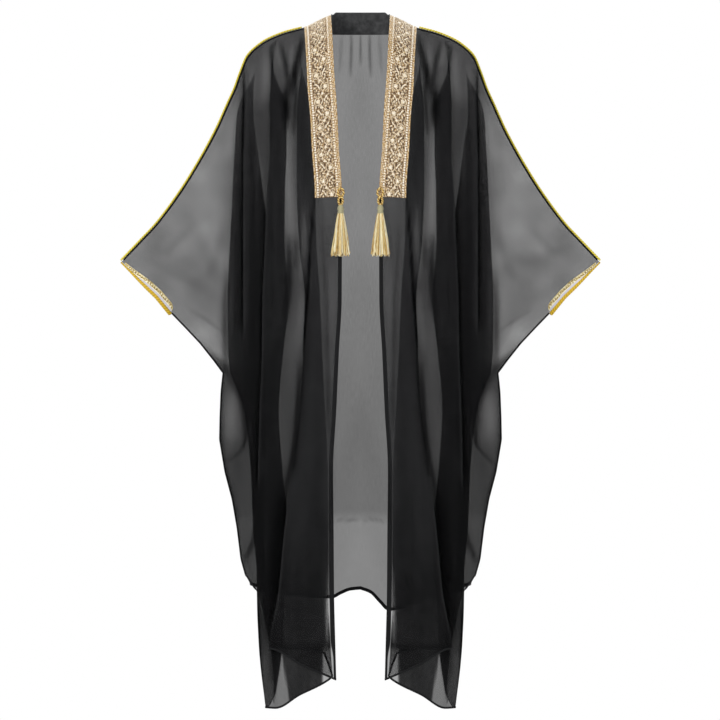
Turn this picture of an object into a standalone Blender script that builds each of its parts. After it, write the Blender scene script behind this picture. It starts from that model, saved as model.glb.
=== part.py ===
"""Open cloak of sheer black cloth, a bisht, in the shape it has when worn with the hands lifted a little.

Metres, +Z up, the wearer faces -Y and their left is +X. The origin is midway between the shoulders at the
base of the neck. Each cloth panel is a grid of points P(q, t), given a wall. q counts the stations across the
panel, from the front edge or the centre back to the sleeve, and t runs from the shoulder ridge, 0, to the hem, 1.
Between an outer and an inner station the cloth doubles back, which makes the long vertical folds.
"""

import collections
import math

import bmesh
import bpy
import numpy as np

MM = 0.001
Table = collections.namedtuple("Table", ("columns", "rows"))

# Cloth and clearances, in metres
CLOTH = 0.0012
SEAM_GAP = 0.0003
LAYER_STEP = 0.008
FOLD_NOSE = 0.08

# Places along the outline where the cuff ends and the side begins, as values of t
CUFF_END = 0.24
UNDERARM = 0.59

# Shoulder and sleeve ridge in the plane of the shoulders
RIDGE = Table(
    ("from_centre", "height"),
    (
        (60.5, 31),
        (74, 26),
        (116, 6),
        (153, -4),
        (192, -20),
        (216, -37),
        (231, -53),
        (245, -86),
        (257, -119),
        (272, -152),
        (294, -201),
        (329, -266),
        (370, -332),
        (419, -398),
        (450, -431),
        (491, -474),
    ),
)

# Cuff, underarm seam and side fold, from the cuff's tip down to the side of the hem
OUTLINE = Table(
    ("t", "from_centre", "height"),
    (
        (0.00, 491, -474),
        (0.08, 452, -512),
        (0.16, 417, -545),
        (CUFF_END, 388, -580),
        (0.36, 360, -609),
        (0.47, 329, -642),
        (0.54, 302, -676),
        (UNDERARM, 282, -703),
        (0.63, 286, -742),
        (0.68, 288, -791),
        (0.73, 289, -840),
        (0.80, 278, -906),
        (0.86, 263, -963),
        (0.92, 253, -1021),
        (0.97, 245, -1086),
        (1.00, 236, -1118),
    ),
)

# Front panel: distance of each station from the centre at each height
FRONT = Table(
    ("height", "edge", "pleat_out", "pleat_in", "crease_out", "crease_in", "sleeve_root"),
    (
        (31, 60.5, 122, 129, 170, 179, 231),
        (-20, 57, 122, 127, 172, 180, 231),
        (-82, 54, 122, 120, 181, 177, 238),
        (-164, 48, 128, 100, 186, 152, 240),
        (-246, 44, 130, 96, 186, 152, 240),
        (-328, 38.5, 130, 93, 191, 155, 240),
        (-430, 38, 126, 91, 195, 156, 240),
        (-554, 38.5, 114, 83, 200, 148, 240),
        (-656, 44, 117, 79, 201, 158, 240),
        (-779, 49.5, 125, 73, 206, 168, 240),
        (-902, 56, 140, 67, 209, 160, 235),
        (-1025, 55, 155, 66.5, 212, 147, 225),
        (-1148, 54, 167, 66, 212, 155, 214),
        (-1271, 51, 187, 61, 207, 162, 214),
        (-1390, 48, 190, 50, 194, 179, 214),
    ),
)
FRONT_STACK = (2, 1, 0, -1, -2, -2)

# Height of the front panel's hem at each station, q, counted from the front edge
FRONT_HEM = Table(
    ("q", "height"),
    (
        (0.0, -1330),
        (0.5, -1300),
        (1.0, -1267),
        (1.5, -1268),
        (1.9, -1276),
        (2.0, -1322),
        (2.1, -1334),
        (2.5, -1362),
        (2.86, -1389),
        (3.0, -1388),
        (3.5, -1384),
        (4.0, -1358),
        (4.5, -1250),
        (5.0, -1148),
        (6.0, -1118),
    ),
)

# Back panel: distance of each station from the centre at each height
BACK = Table(
    ("height", "centre", "fold_out", "fold_in", "sleeve_root"),
    (
        (31, 0, 203, 212, 236),
        (-60, 0, 206, 215, 236),
        (-100, 0, 226, 220, 246),
        (-164, 0, 254, 222, 264),
        (-246, 0, 260, 212, 270),
        (-328, 0, 264, 202, 274),
        (-430, 0, 269, 190, 278),
        (-554, 0, 274, 192, 281),
        (-656, 0, 273, 192, 280),
        (-700, 0, 269, 193, 277),
        (-730, 0, 258, 194, 273),
        (-779, 0, 241, 196, 264),
        (-902, 0, 227, 199, 252),
        (-1025, 0, 222, 200, 240),
        (-1148, 0, 210, 196, 224),
    ),
)
BACK_STACK = (1, 0, -1, -1)

# Height of the back panel's hem at each station on the wearer's right and left
BACK_HEM = Table(
    ("q", "right", "left"),
    (
        (0.0, -1148, -1148),
        (0.1, -1150, -1156),
        (0.2, -1158, -1177),
        (0.28, -1166, -1192),
        (0.5, -1164, -1180),
        (1.0, -1152, -1152),
        (3.0, -1138, -1138),
        (4.0, -1118, -1118),
    ),
)

# Soft upright waves of the back, which grow towards the hem
WAVES = Table(("length", "half_height"), ((130, 5.0), (83, 2.5)))
WAVE_TOP = -0.15
WAVE_FULL = -0.80

# How far the cloth stands in front of and behind the shoulders' plane
DEPTH = Table(("height", "depth"), ((31, 95), (-150, 112), (-500, 118), (-900, 128), (-1390, 142)))
DEPTH_HALF_WIDTH = 0.300
SHOULDER_ROUND = 0.100
FOLD_START = 0.070
ARM_BULGE = 0.020
ARM_ROUND = 0.050
CUFF_HALF_OPEN = 0.022

# Neckline and neck band. The neck hole is a squarish oval cut in the back panel.
NECK_HALF = 0.0605
NECK_DEPTH = 0.073
NECK_SQUARE = 6.0
NECK_LEVEL = 0.031
BAND_TOP = 0.037
BAND_END_TOP = 0.0315
BAND_END_ANGLE = 0.995
BAND_WALL = 0.002

# Gold trims, cords and cuff bands
TRIM_WIDTH = 0.055
TRIM_BOTTOM = -0.344
TRIM_WALL = 0.002
EDGE_TOP, EDGE_HEM = RIDGE.rows[0][1] * MM, FRONT_HEM.rows[0][1] * MM
TRIM_FOOT = (EDGE_TOP - TRIM_BOTTOM) / (EDGE_TOP - EDGE_HEM)
CORD_RADIUS = 0.0022
CORD_LIFT = 0.0016
CUFF_CORD_RADIUS = 0.0026
CUFF_BAND_INSET = 0.0035
CUFF_BAND_LIFT = 0.0008
CUFF_BAND_WALL = 0.0015
BAND_WIDTH_TIP = 0.005
BAND_WIDTH_FOOT = 0.0155
BAND_FULL = 0.12
BAND_ROUND = 0.022

# Tassels
TASSEL_X = 0.0405
LOOP_HEIGHTS = (-0.3345, -0.3515)
LOOP_RADIUS = 0.0062
LOOP_WIRE = 0.0021
HEAD_TOP = -0.3615
HEAD_BOTTOM = -0.3765
HEAD_RADIUS = 0.0068
SKIRT_BOTTOM = -0.466
SKIRT_RADIUS = 0.0185
SKIRT_FLAT = 0.55
STRAND_RADIUS = 0.0011
STRAND_RINGS = ((1, 0.0), (5, 0.38), (9, 0.70), (14, 1.0))

# Grid lines of the solids
T_LINES = np.array(
    (0, 0.006, 0.02, 0.045, 0.08, 0.12, 0.16, 0.20, CUFF_END, 0.29, 0.34, 0.39, 0.44, 0.49, 0.54)
    + (UNDERARM, 0.63, 0.67, 0.72, 0.77, 0.82, 0.87, 0.91, 0.95, 0.98, 1.0)
)
SLEEVE_STEPS = (0.14, 0.28, 0.43, 0.58, 0.73, 0.87, 1.0)


def smooth_through(x, knots, values):
    """Cubic through the knots that never overshoots: each knot's slope is the harmonic mean of its neighbours'."""
    knots, values = np.asarray(knots, float), np.asarray(values, float)
    step = np.diff(knots)
    rise = np.diff(values) / step
    slope = np.concatenate([rise[:1], np.zeros(len(knots) - 2), rise[-1:]])
    same_way = rise[:-1] * rise[1:] > 0
    total = np.where(same_way, rise[:-1] + rise[1:], 1.0)
    slope[1:-1] = np.where(same_way, 2 * rise[:-1] * rise[1:] / total, 0.0)
    x = np.clip(x, knots[0], knots[-1])
    i = np.clip(np.searchsorted(knots, x, side="right") - 1, 0, len(step) - 1)
    f, h = (x - knots[i]) / step[i], step[i]
    near = (1 + 2 * f) * (1 - f) ** 2 * values[i] + f * (1 - f) ** 2 * h * slope[i]
    far = f * f * (3 - 2 * f) * values[i + 1] + f * f * (f - 1) * h * slope[i + 1]
    return near + far


def column(table, name):
    """A named column of a table as an array, its rows in rising order of the first column."""
    return np.array(sorted(table.rows), float)[:, table.columns.index(name)]


def from_table(table, name, x):
    """Smooth value of a table's column, in metres, where its first column, in millimetres, is x metres."""
    return smooth_through(x, column(table, table.columns[0]) * MM, column(table, name) * MM)


def by_station(table, name, q):
    """Smooth height, in metres, at station q of a table whose first column is the station."""
    return smooth_through(q, column(table, "q"), column(table, name) * MM)


def ridge_height(x):
    return from_table(RIDGE, "height", x)


def outline(t):
    """(distance from the centre, height) of the cuff, underarm and side at t."""
    return tuple(np.interp(t, column(OUTLINE, "t"), column(OUTLINE, name) * MM) for name in OUTLINE.columns[1:])


def quarter_round(distance, radius):
    """0 at the ridge, rising as a quarter circle to 1 at the radius."""
    return np.sqrt(1 - (1 - np.clip(distance / radius, 0, 1)) ** 2)


def ease(x):
    x = np.clip(x, 0, 1)
    return x * x * (3 - 2 * x)


def stack_level(q, levels):
    """Layer that the cloth is in at station q: level, but for round noses where it doubles back."""
    levels = np.array(levels, float)
    k = np.clip(np.floor(q).astype(int), 0, len(levels) - 1)
    f = q - k
    before, after = levels[np.maximum(k - 1, 0)], levels[np.minimum(k + 1, len(levels) - 1)]
    start = 1 - np.sqrt(1 - np.clip(1 - f / FOLD_NOSE, 0, 1) ** 2)
    end = 1 - np.sqrt(1 - np.clip(1 - (1 - f) / FOLD_NOSE, 0, 1) ** 2)
    return levels[k] + (before - levels[k]) / 2 * start + (after - levels[k]) / 2 * end


def station_x(table, q, z):
    """Distance from the centre at station q and height z, between the two stations beside q."""
    stations = table.columns[1:]
    k = np.clip(np.floor(q).astype(int), 0, len(stations) - 2)
    lines = np.stack([from_table(table, name, z) for name in stations])
    low = np.take_along_axis(lines, k[None], 0)[0]
    high = np.take_along_axis(lines, k[None] + 1, 0)[0]
    return low + (high - low) * (q - k)


def body_depth(x, z):
    """How far the cloth stands off the shoulders' plane at x and height z: half an ellipse in plan."""
    return from_table(DEPTH, "depth", z) * np.sqrt(np.clip(1 - (x / DEPTH_HALF_WIDTH) ** 2, 0.02, 1))


def neck_y(x):
    """Back neckline in plan: half a squarish oval behind the shoulders' plane."""
    side = np.clip(1 - np.abs(x / NECK_HALF) ** NECK_SQUARE, 0, 1)
    return SEAM_GAP / 2 + (NECK_DEPTH - SEAM_GAP / 2) * side ** (1 / NECK_SQUARE)


def neck_z(x):
    """Height of the neckline: where the rounded top of the back reaches as far back as the neckline does."""
    reach = np.clip(neck_y(x) / body_depth(x, np.zeros_like(x)), 0, 1)
    return NECK_LEVEL - SHOULDER_ROUND * (1 - np.sqrt(1 - reach**2))


def drape_waves(x, z):
    """Sum of upright cosine waves in x, which fade out towards the shoulders."""
    lengths, heights = np.array(WAVES.rows).T * MM
    total = sum(height * np.cos(2 * math.pi * x / length) for length, height in zip(lengths, heights))
    return total * ease((WAVE_TOP - z) / (WAVE_TOP - WAVE_FULL))


def panel_points(q, t, table, stack, hem, is_back):
    """Points of half a panel on the grid q by t: from the centre, off the shoulders' plane, height.

    Up to the sleeve root a column hangs from the ridge and its stations are read from the table. Past it the
    points lie between the root and the outline, and follow the ridge at the top.
    """
    root = len(table.columns) - 2
    q, t = np.meshgrid(q, t)
    body_q, sleeve = np.minimum(q, root), np.clip(q - root, 0, 1)
    top_x = station_x(table, body_q, np.full_like(q, -0.02))
    for _ in range(4):
        top_x = station_x(table, body_q, ridge_height(top_x))
    level = ridge_height(top_x)
    top_z = np.where(is_back & (top_x < NECK_HALF), neck_z(top_x), level)
    z = top_z + (hem(body_q) - top_z) * t
    x = np.where(t > 0, station_x(table, body_q, z), top_x)
    drop = level - z
    y = SEAM_GAP / 2 + (body_depth(x, z) - SEAM_GAP / 2) * quarter_round(drop, SHOULDER_ROUND)
    y = y + LAYER_STEP * stack_level(body_q, stack) * ease((top_z - z) / FOLD_START)
    if is_back:
        y = y + drape_waves(x, z)

    out_x, out_z = outline(t)
    out_x, out_z = np.broadcast_to(out_x, q.shape), np.broadcast_to(out_z, q.shape)
    straight_x, straight_z = x + (out_x - x) * sleeve, z + (out_z - z) * sleeve
    tip_x, tip_z = np.array(RIDGE.rows[-1]) * MM
    line_x, line_z = top_x + (tip_x - top_x) * sleeve, top_z + (tip_z - top_z) * sleeve
    sag = (ridge_height(line_x) - line_z) * np.clip(1 - t / 0.45, 0, 1) ** 1.5 * (sleeve > 0)
    open_cuff = CUFF_HALF_OPEN * np.sin(math.pi * np.clip(t / CUFF_END, 0, 1)) ** 0.7
    edge_y = SEAM_GAP / 2 + open_cuff
    round_side = ease((t - UNDERARM + 0.1) / 0.2)
    share = (1 - sleeve) * (1 - round_side) + np.sqrt(1 - sleeve**2) * round_side
    arm = ARM_BULGE * np.sin(math.pi * sleeve) * quarter_round(t * 1.2, ARM_ROUND) * np.exp(-((t / 0.3) ** 2))
    y = np.where(sleeve > 0, y * share + edge_y * (1 - share) + arm * (t > 0), y)
    return np.stack([straight_x, y, straight_z + sag], axis=-1)


def unit(vectors):
    return vectors / np.maximum(np.linalg.norm(vectors, axis=-1, keepdims=True), 1e-9)


def grid_normals(points):
    """Unit normals of a grid of points, from the directions along its rows and columns."""
    along_q = np.gradient(points, axis=1)
    along_t = np.gradient(points, axis=0)
    return unit(np.cross(along_q, along_t))


def grid_faces(rows, columns, first, mirrored):
    """Two triangles for each cell of a grid whose points start at index first.

    The first cells of each row, as many as mirrored says, are cut along the other diagonal.
    """
    i, j = np.meshgrid(np.arange(rows - 1), np.arange(columns - 1), indexing="ij")
    a, other = (first + i * columns + j).ravel(), (j < mirrored).ravel()
    b, c, d = a + 1, a + columns, a + columns + 1
    upper = np.stack([a, b, np.where(other, c, d)], 1)
    lower = np.stack([np.where(other, b, a), d, c], 1)
    return np.concatenate([upper, lower])


def wall_mesh(outer, inner, mirrored=0):
    """Points and triangles of the closed wall between two grids of points."""
    rows, columns = outer.shape[:2]
    count = rows * columns
    index = np.arange(count).reshape(rows, columns)
    rim = np.concatenate([index[0, :-1], index[:-1, -1], index[-1, :0:-1], index[:0:-1, 0]])
    after = np.roll(rim, -1)
    sides = [np.stack([after, rim, rim + count], 1), np.stack([after, rim + count, after + count], 1)]
    front, back = grid_faces(rows, columns, 0, mirrored), grid_faces(rows, columns, count, mirrored)[:, ::-1]
    points = np.concatenate([outer.reshape(-1, 3), inner.reshape(-1, 3)])
    return points, np.concatenate([front, back] + sides)


def add_object(name, points, faces, material):
    """One closed mesh as an object, with its faces turned outwards."""
    mesh = bpy.data.meshes.new(name)
    mesh.from_pydata(points.tolist(), [], faces.tolist())
    shape = bmesh.new()
    shape.from_mesh(mesh)
    bmesh.ops.recalc_face_normals(shape, faces=shape.faces)
    if shape.calc_volume(signed=True) < 0:
        bmesh.ops.reverse_faces(shape, faces=shape.faces)
    shape.to_mesh(mesh)
    shape.free()
    mesh.shade_smooth()
    mesh.set_sharp_from_angle(angle=math.radians(50))
    mesh.materials.append(material)
    obj = bpy.data.objects.new(name, mesh)
    bpy.context.scene.collection.objects.link(obj)
    return obj


def add_wall(name, outer, inner, material, mirrored=0):
    return add_object(name, *wall_mesh(outer, inner, mirrored), material)


def placed(points, side, front):
    """Half-panel points turned into place: side is +1 for the wearer's left, front puts them before the body."""
    return points * np.array([side, -1 if front else 1, 1])


def inward(points, flat_top, flat_side):
    """Unit directions into the wall. At a seam they stay in the shoulders' plane, so the two walls meet square."""
    normals = -grid_normals(points)
    for flat, line in ((flat_top, np.s_[0, :]), (flat_side, np.s_[:, -1])):
        level = normals[line] * [1, 0, 1]
        normals[line] = np.where(flat[:, None], unit(level), normals[line])
    return normals


def front_stations():
    nose = FOLD_NOSE
    pleat = (0, nose, 0.5, 1 - nose)
    steps = [(0, 0.33, 0.66, 1 - nose), pleat, (0, nose, 0.36, 0.64, 1 - nose), pleat, (0, nose, 0.5)]
    body = [k + f for k, fractions in enumerate(steps) for f in fractions]
    return np.array(body + [5.0] + [5 + f for f in SLEEVE_STEPS])


def back_stations():
    nose = FOLD_NOSE
    centre = (0, 0.10, 0.19, 0.25, 0.285, 0.298, 0.37, 0.46, 0.55, 0.64, 0.73, 0.82, 1 - nose)
    steps = [centre, (0, nose, 0.5, 1 - nose), (0, nose, 0.5)]
    body = [k + f for k, fractions in enumerate(steps) for f in fractions]
    return np.array(body + [3.0] + [3 + f for f in SLEEVE_STEPS])


def front_half(q, t):
    return panel_points(q, t, FRONT, FRONT_STACK, lambda station: by_station(FRONT_HEM, "height", station), False)


def back_half(q, t, side=1):
    """Half of the back on the wearer's left, side 1, or right, side -1."""
    name = "left" if side > 0 else "right"
    return panel_points(q, t, BACK, BACK_STACK, lambda station: by_station(BACK_HEM, name, station), True)


def make_front(name, side, material):
    points = front_half(front_stations(), T_LINES)
    seam_top = np.full(points.shape[1], True)
    outer = placed(points, side, True)
    inner = placed(points + CLOTH * inward(points, seam_top, T_LINES >= CUFF_END), side, True)
    return add_wall(name, outer, inner, material)


def make_back(name, material):
    walls = []
    for side in (-1, 1):
        points = back_half(back_stations(), T_LINES, side)
        shoulder = points[0, :, 0] >= NECK_HALF
        inside = points + CLOTH * inward(points, shoulder, T_LINES >= CUFF_END)
        inside[:, 0, 0] = 0
        walls.append([placed(half, side, False) for half in (points, inside)])
    right, left = walls
    both = [np.concatenate([r[:, :0:-1], l], axis=1) for r, l in zip(right, left)]
    return add_wall(name, both[0], both[1], material, left[0].shape[1] - 1)


def strip_on(points, lift, wall):
    """The two grids of a strip that lies off the outer face of a grid of half-panel points."""
    outwards = -inward(points, np.full(points.shape[1], True), np.full(points.shape[0], False))
    return points + outwards * (lift + wall), points + outwards * lift


def make_trim(name, side, material):
    """Gold trim: the front panel's own first stretch, as wide as the trim, from the ridge to the trim's foot."""
    t = np.concatenate([T_LINES[:4], np.linspace(T_LINES[4], TRIM_FOOT, 7)])
    grid = []
    for value in t:
        z = EDGE_TOP + (EDGE_HEM - EDGE_TOP) * value
        width = from_table(FRONT, "pleat_out", z) - from_table(FRONT, "edge", z)
        q = np.linspace(0.0, TRIM_WIDTH / width, 5)
        grid.append(front_half(q, np.array([value]))[0])
    outer, inner = strip_on(np.array(grid), SEAM_GAP, TRIM_WALL)
    return add_wall(name, placed(outer, side, True), placed(inner, side, True), material)


def make_cuff_band(name, side, front, material):
    """Band that follows the cuff's edge on the outside of the sleeve, wider and rounded at its foot."""
    half, root = (front_half, 5) if front else (back_half, 3)
    t = np.array([0.02, 0.05, 0.08, 0.11, 0.14, 0.17, 0.20, 0.218, 0.227, 0.232])
    root_line, edge_line = half(np.array([root, root + 1.0]), t).transpose(1, 0, 2)
    sleeve_length = np.linalg.norm(edge_line - root_line, axis=-1)
    width = BAND_WIDTH_TIP + (BAND_WIDTH_FOOT - BAND_WIDTH_TIP) * ease(t / BAND_FULL)
    foot = np.clip((CUFF_END - 0.004 - t) / BAND_ROUND, 0, 1)
    width = width * np.sqrt(1 - (1 - foot) ** 2)
    grid = []
    for value, across, length in zip(t, width, sleeve_length):
        q = root + 1 - np.linspace(CUFF_BAND_INSET + across, CUFF_BAND_INSET, 3) / length
        grid.append(half(q, np.array([value]))[0])
    outer, inner = strip_on(np.array(grid), CUFF_BAND_LIFT, CUFF_BAND_WALL)
    return add_wall(name, placed(outer, side, front), placed(inner, side, front), material)


def make_neck_band(name, material):
    """Stiff band that stands on the back neckline. It runs out to nothing where it meets the trims."""
    share = np.linspace(-1, 1, 27)
    angle = BAND_END_ANGLE * math.pi / 2 * np.sign(share) * (1 - (1 - np.abs(share)) ** 1.5)
    x = NECK_HALF * np.sign(angle) * np.abs(np.sin(angle)) ** (2 / NECK_SQUARE)
    near_end = ease((np.abs(x) - 0.050) / 0.0085)
    bottom = neck_z(x) + SEAM_GAP * 3
    top = np.maximum(BAND_TOP - (BAND_TOP - BAND_END_TOP) * near_end, bottom + 0.002)
    z = bottom + (top - bottom) * np.linspace(0, 1, 4)[:, None]
    plan = np.stack([x, neck_y(x), np.zeros_like(x)], axis=-1)
    along = unit(np.gradient(plan, axis=0))
    into = np.stack([along[:, 1], -along[:, 0], np.zeros_like(x)], axis=-1)
    outer = np.broadcast_to(plan, (len(z),) + plan.shape).copy()
    outer[..., 2] = z
    return add_wall(name, outer, outer + BAND_WALL * into, material)


def tube_mesh(path, radius, sides, closed):
    """A round tube along a path, its rings carried square to the path."""
    ahead = np.roll(path, -1, axis=0) - np.roll(path, 1, axis=0)
    if not closed:
        ahead[0], ahead[-1] = path[1] - path[0], path[-1] - path[-2]
    ahead = unit(ahead)
    across = unit(np.cross(ahead, [0, 1.0, 0.02]))
    other = np.cross(ahead, across)
    angle = np.linspace(0, 2 * math.pi, sides, endpoint=False)
    ring = np.cos(angle)[None, :, None] * across[:, None] + np.sin(angle)[None, :, None] * other[:, None]
    points = (path[:, None] + radius * ring).reshape(-1, 3)
    count = len(path)
    i, j = np.meshgrid(np.arange(count if closed else count - 1), np.arange(sides), indexing="ij")
    i, j = i.ravel(), j.ravel()
    a, b = i * sides + j, i * sides + (j + 1) % sides
    c, d = (i + 1) % count * sides + j, (i + 1) % count * sides + (j + 1) % sides
    faces = np.concatenate([np.stack([a, b, d], 1), np.stack([a, d, c], 1)]).tolist()
    if not closed:
        faces += [[0, k + 1, k] for k in range(1, sides - 1)]
        last = (count - 1) * sides
        faces += [[last, last + k, last + k + 1] for k in range(1, sides - 1)]
    return points, np.array(faces)


def make_shoulder_cord(name, side, material):
    """Cord that lies on the seam along the ridge, from the trim's outer corner to the cuff's tip."""
    x = np.linspace(RIDGE.rows[2][0] * MM + 0.004, RIDGE.rows[-1][0] * MM - 0.003, 26)
    path = np.stack([side * x, np.zeros_like(x), ridge_height(x)], axis=-1)
    slope = unit(np.gradient(path, axis=0))
    out = np.stack([-slope[:, 2], np.zeros_like(x), slope[:, 0]], axis=-1) * side
    path = path + out * (CORD_RADIUS + CORD_LIFT)
    return add_object(name, *tube_mesh(path, CORD_RADIUS, 6, False), material)


def make_cuff_cord(name, side, material):
    """Cord round the cuff's opening, just off the edge of the cloth."""
    t = np.linspace(0.012, CUFF_END - 0.008, 11)
    x, z = outline(t)
    y = SEAM_GAP / 2 + CUFF_HALF_OPEN * np.sin(math.pi * t / CUFF_END) ** 0.7
    front = np.stack([x, -y, z], axis=-1)
    back = np.stack([x, y, z], axis=-1)
    loop = np.concatenate([front, back[::-1]])
    along = unit(np.array([x[-1] - x[0], 0, z[-1] - z[0]]))
    out = np.array([-along[2], 0, along[0]])
    out = out if out[0] > 0 else -out
    loop = (loop + out * (CUFF_CORD_RADIUS + SEAM_GAP)) * [side, 1, 1]
    return add_object(name, *tube_mesh(loop, CUFF_CORD_RADIUS, 6, True), material)


def turned_mesh(profile, segments):
    """A solid turned about Z from (radius, height) pairs, first and last on the axis."""
    angle = np.linspace(0, 2 * math.pi, segments, endpoint=False)
    rings = [
        np.stack([r * np.cos(angle), r * np.sin(angle), np.full(segments, z)], axis=-1)
        for r, z in profile[1:-1]
    ]
    points = np.concatenate([[[0, 0, profile[0][1]]]] + rings + [[[0, 0, profile[-1][1]]]])
    faces = [[0, 1 + j, 1 + (j + 1) % segments] for j in range(segments)]
    for i in range(len(rings) - 1):
        for j in range(segments):
            a, b = 1 + i * segments + j, 1 + i * segments + (j + 1) % segments
            faces += [[a, a + segments, b + segments], [a, b + segments, b]]
    last, base = len(points) - 1, 1 + (len(rings) - 1) * segments
    faces += [[last, base + (j + 1) % segments, base + j] for j in range(segments)]
    return points, np.array(faces)


def strand_mesh():
    """Three-sided strands on rings, spreading from inside the head to the skirt's foot, each a separate prism."""
    heights = np.array([HEAD_BOTTOM + 0.003, HEAD_BOTTOM - 0.030, SKIRT_BOTTOM])
    reach = np.array([HEAD_RADIUS - 0.0026, HEAD_RADIUS + 0.004, SKIRT_RADIUS - 0.001])
    thickness = np.array([0.55, 0.85, 1.0]) * STRAND_RADIUS
    corners = 2 * math.pi * np.arange(3) / 3
    points, faces = [], []
    for ring, (count, share) in enumerate(STRAND_RINGS):
        for k in range(count):
            angle = 2 * math.pi * (k + 0.5 * ring) / count
            level = heights + np.array([0, 0, 0.003 + 0.004 * math.sin(2.4 * k + 1.7 * ring)])
            first = 9 * len(points)
            across = share * reach[:, None] * math.cos(angle) + thickness[:, None] * np.cos(corners + angle)
            ahead = share * reach[:, None] * math.sin(angle) + thickness[:, None] * np.sin(corners + angle)
            ahead = ahead * np.array([1, (1 + SKIRT_FLAT) / 2, SKIRT_FLAT])[:, None]
            up = np.broadcast_to(level[:, None], across.shape)
            points.append(np.stack([across, ahead, up], axis=-1).reshape(-1, 3))
            for i in range(2):
                for j in range(3):
                    a, b = first + 3 * i + j, first + 3 * i + (j + 1) % 3
                    faces += [[a, a + 3, b + 3], [a, b + 3, b]]
            faces += [[first, first + 1, first + 2], [first + 6, first + 8, first + 7]]
    return np.concatenate(points), np.array(faces)


def union(target, other):
    """Joins another object's solid into the target."""
    join = target.modifiers.new("join", "BOOLEAN")
    join.operation, join.solver, join.object = "UNION", "EXACT", other
    other.hide_render = True
    other.display_type = "WIRE"


def hang(points, place):
    """Moves a tassel's points out to where it hangs: its loops lie flat on the trim, its skirt stands clear."""
    lean = np.interp(points[:, 2], [SKIRT_BOTTOM, HEAD_BOTTOM, HEAD_TOP, LOOP_HEIGHTS[1]],
                     [SKIRT_RADIUS * SKIRT_FLAT, HEAD_RADIUS, HEAD_RADIUS, LOOP_WIRE])
    return points - lean[:, None] * [0, 1, 0] + place


def make_tassel(name, side, material):
    """Gold tassel: two loops, a bound head and a skirt of strands, one solid that hangs at the trim's foot."""
    carrier = front_half(np.array([0.0]), np.array([TRIM_FOOT]))[0, 0, 1]
    place = np.array([side * TASSEL_X, -carrier - TRIM_WALL - 2 * SEAM_GAP, 0])
    head = [
        (0, HEAD_TOP + 0.004),
        (0.003, HEAD_TOP + 0.0035),
        (0.0055, HEAD_TOP),
        (HEAD_RADIUS, (HEAD_TOP + HEAD_BOTTOM) / 2),
        (0.0058, HEAD_BOTTOM + 0.003),
        (HEAD_RADIUS, HEAD_BOTTOM),
        (HEAD_RADIUS - 0.001, HEAD_BOTTOM - 0.001),
        (0, HEAD_BOTTOM - 0.001),
    ]
    points, faces = turned_mesh(head, 12)
    tassel = add_object(name, hang(points, place), faces, material)
    angle = np.linspace(0, 2 * math.pi, 10, endpoint=False)
    for number, height in enumerate(LOOP_HEIGHTS):
        width = LOOP_RADIUS * (0.85 + 0.15 * number)
        ring = np.stack([width * np.cos(angle), 0 * angle, LOOP_RADIUS * 1.42 * np.sin(angle)], axis=-1)
        points, faces = tube_mesh(ring + [0, 0, height], LOOP_WIRE, 5, True)
        union(tassel, add_object(f"{name}_loop_{number}", hang(points, place), faces, material))
    points, faces = strand_mesh()
    union(tassel, add_object(f"{name}_strands", hang(points, place), faces, material))
    return tassel


def make_material(name, colour, roughness, metallic, alpha=1.0):
    material = bpy.data.materials.new(name)
    material.use_nodes = True
    shader = material.node_tree.nodes["Principled BSDF"]
    shader.inputs["Base Color"].default_value = (*colour, 1)
    shader.inputs["Roughness"].default_value = roughness
    shader.inputs["Metallic"].default_value = metallic
    shader.inputs["Alpha"].default_value = alpha
    return material


def clear_scene():
    for obj in list(bpy.data.objects):
        bpy.data.objects.remove(obj)


def main():
    clear_scene()
    chiffon = make_material("sheer_black_cloth", (0.012, 0.012, 0.013), 0.75, 0.0, 0.8)
    band = make_material("black_band", (0.03, 0.03, 0.032), 0.8, 0.0)
    gold = make_material("gold_embroidery", (0.62, 0.42, 0.18), 0.38, 0.8)
    cord = make_material("yellow_gold_cord", (0.72, 0.58, 0.06), 0.45, 0.5)
    silver = make_material("silver_gold_band", (0.72, 0.68, 0.66), 0.4, 0.6)
    thread = make_material("gold_thread", (0.74, 0.58, 0.30), 0.5, 0.4)

    make_back("back", chiffon)
    make_neck_band("neck_band", band)
    for word, side in (("left", 1), ("right", -1)):
        make_front(f"front_{word}", side, chiffon)
        make_trim(f"trim_{word}", side, gold)
        make_shoulder_cord(f"shoulder_cord_{word}", side, cord)
        make_cuff_cord(f"cuff_cord_{word}", side, cord)
        make_cuff_band(f"cuff_band_{word}_front", side, True, silver)
        make_cuff_band(f"cuff_band_{word}_back", side, False, silver)
        make_tassel(f"tassel_{word}", side, thread)


main()
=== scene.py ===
"""Looks of an open cloak of sheer black cloth, a bisht, in the shape it has when worn.

Metres, +Z up, the wearer faces -Y and their left is +X. Every piece is a surface worked out on a grid of
two parameters, or a profile carried along a path. Each cloth panel is a grid P(q, t): q counts the stations
across the panel, from the front edge or the centre back to the sleeve, and t runs from the shoulder ridge, 0,
to the hem, 1. The sizes and tables of the cut are the ones that the solids were made from.
"""

import collections
import math

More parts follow.
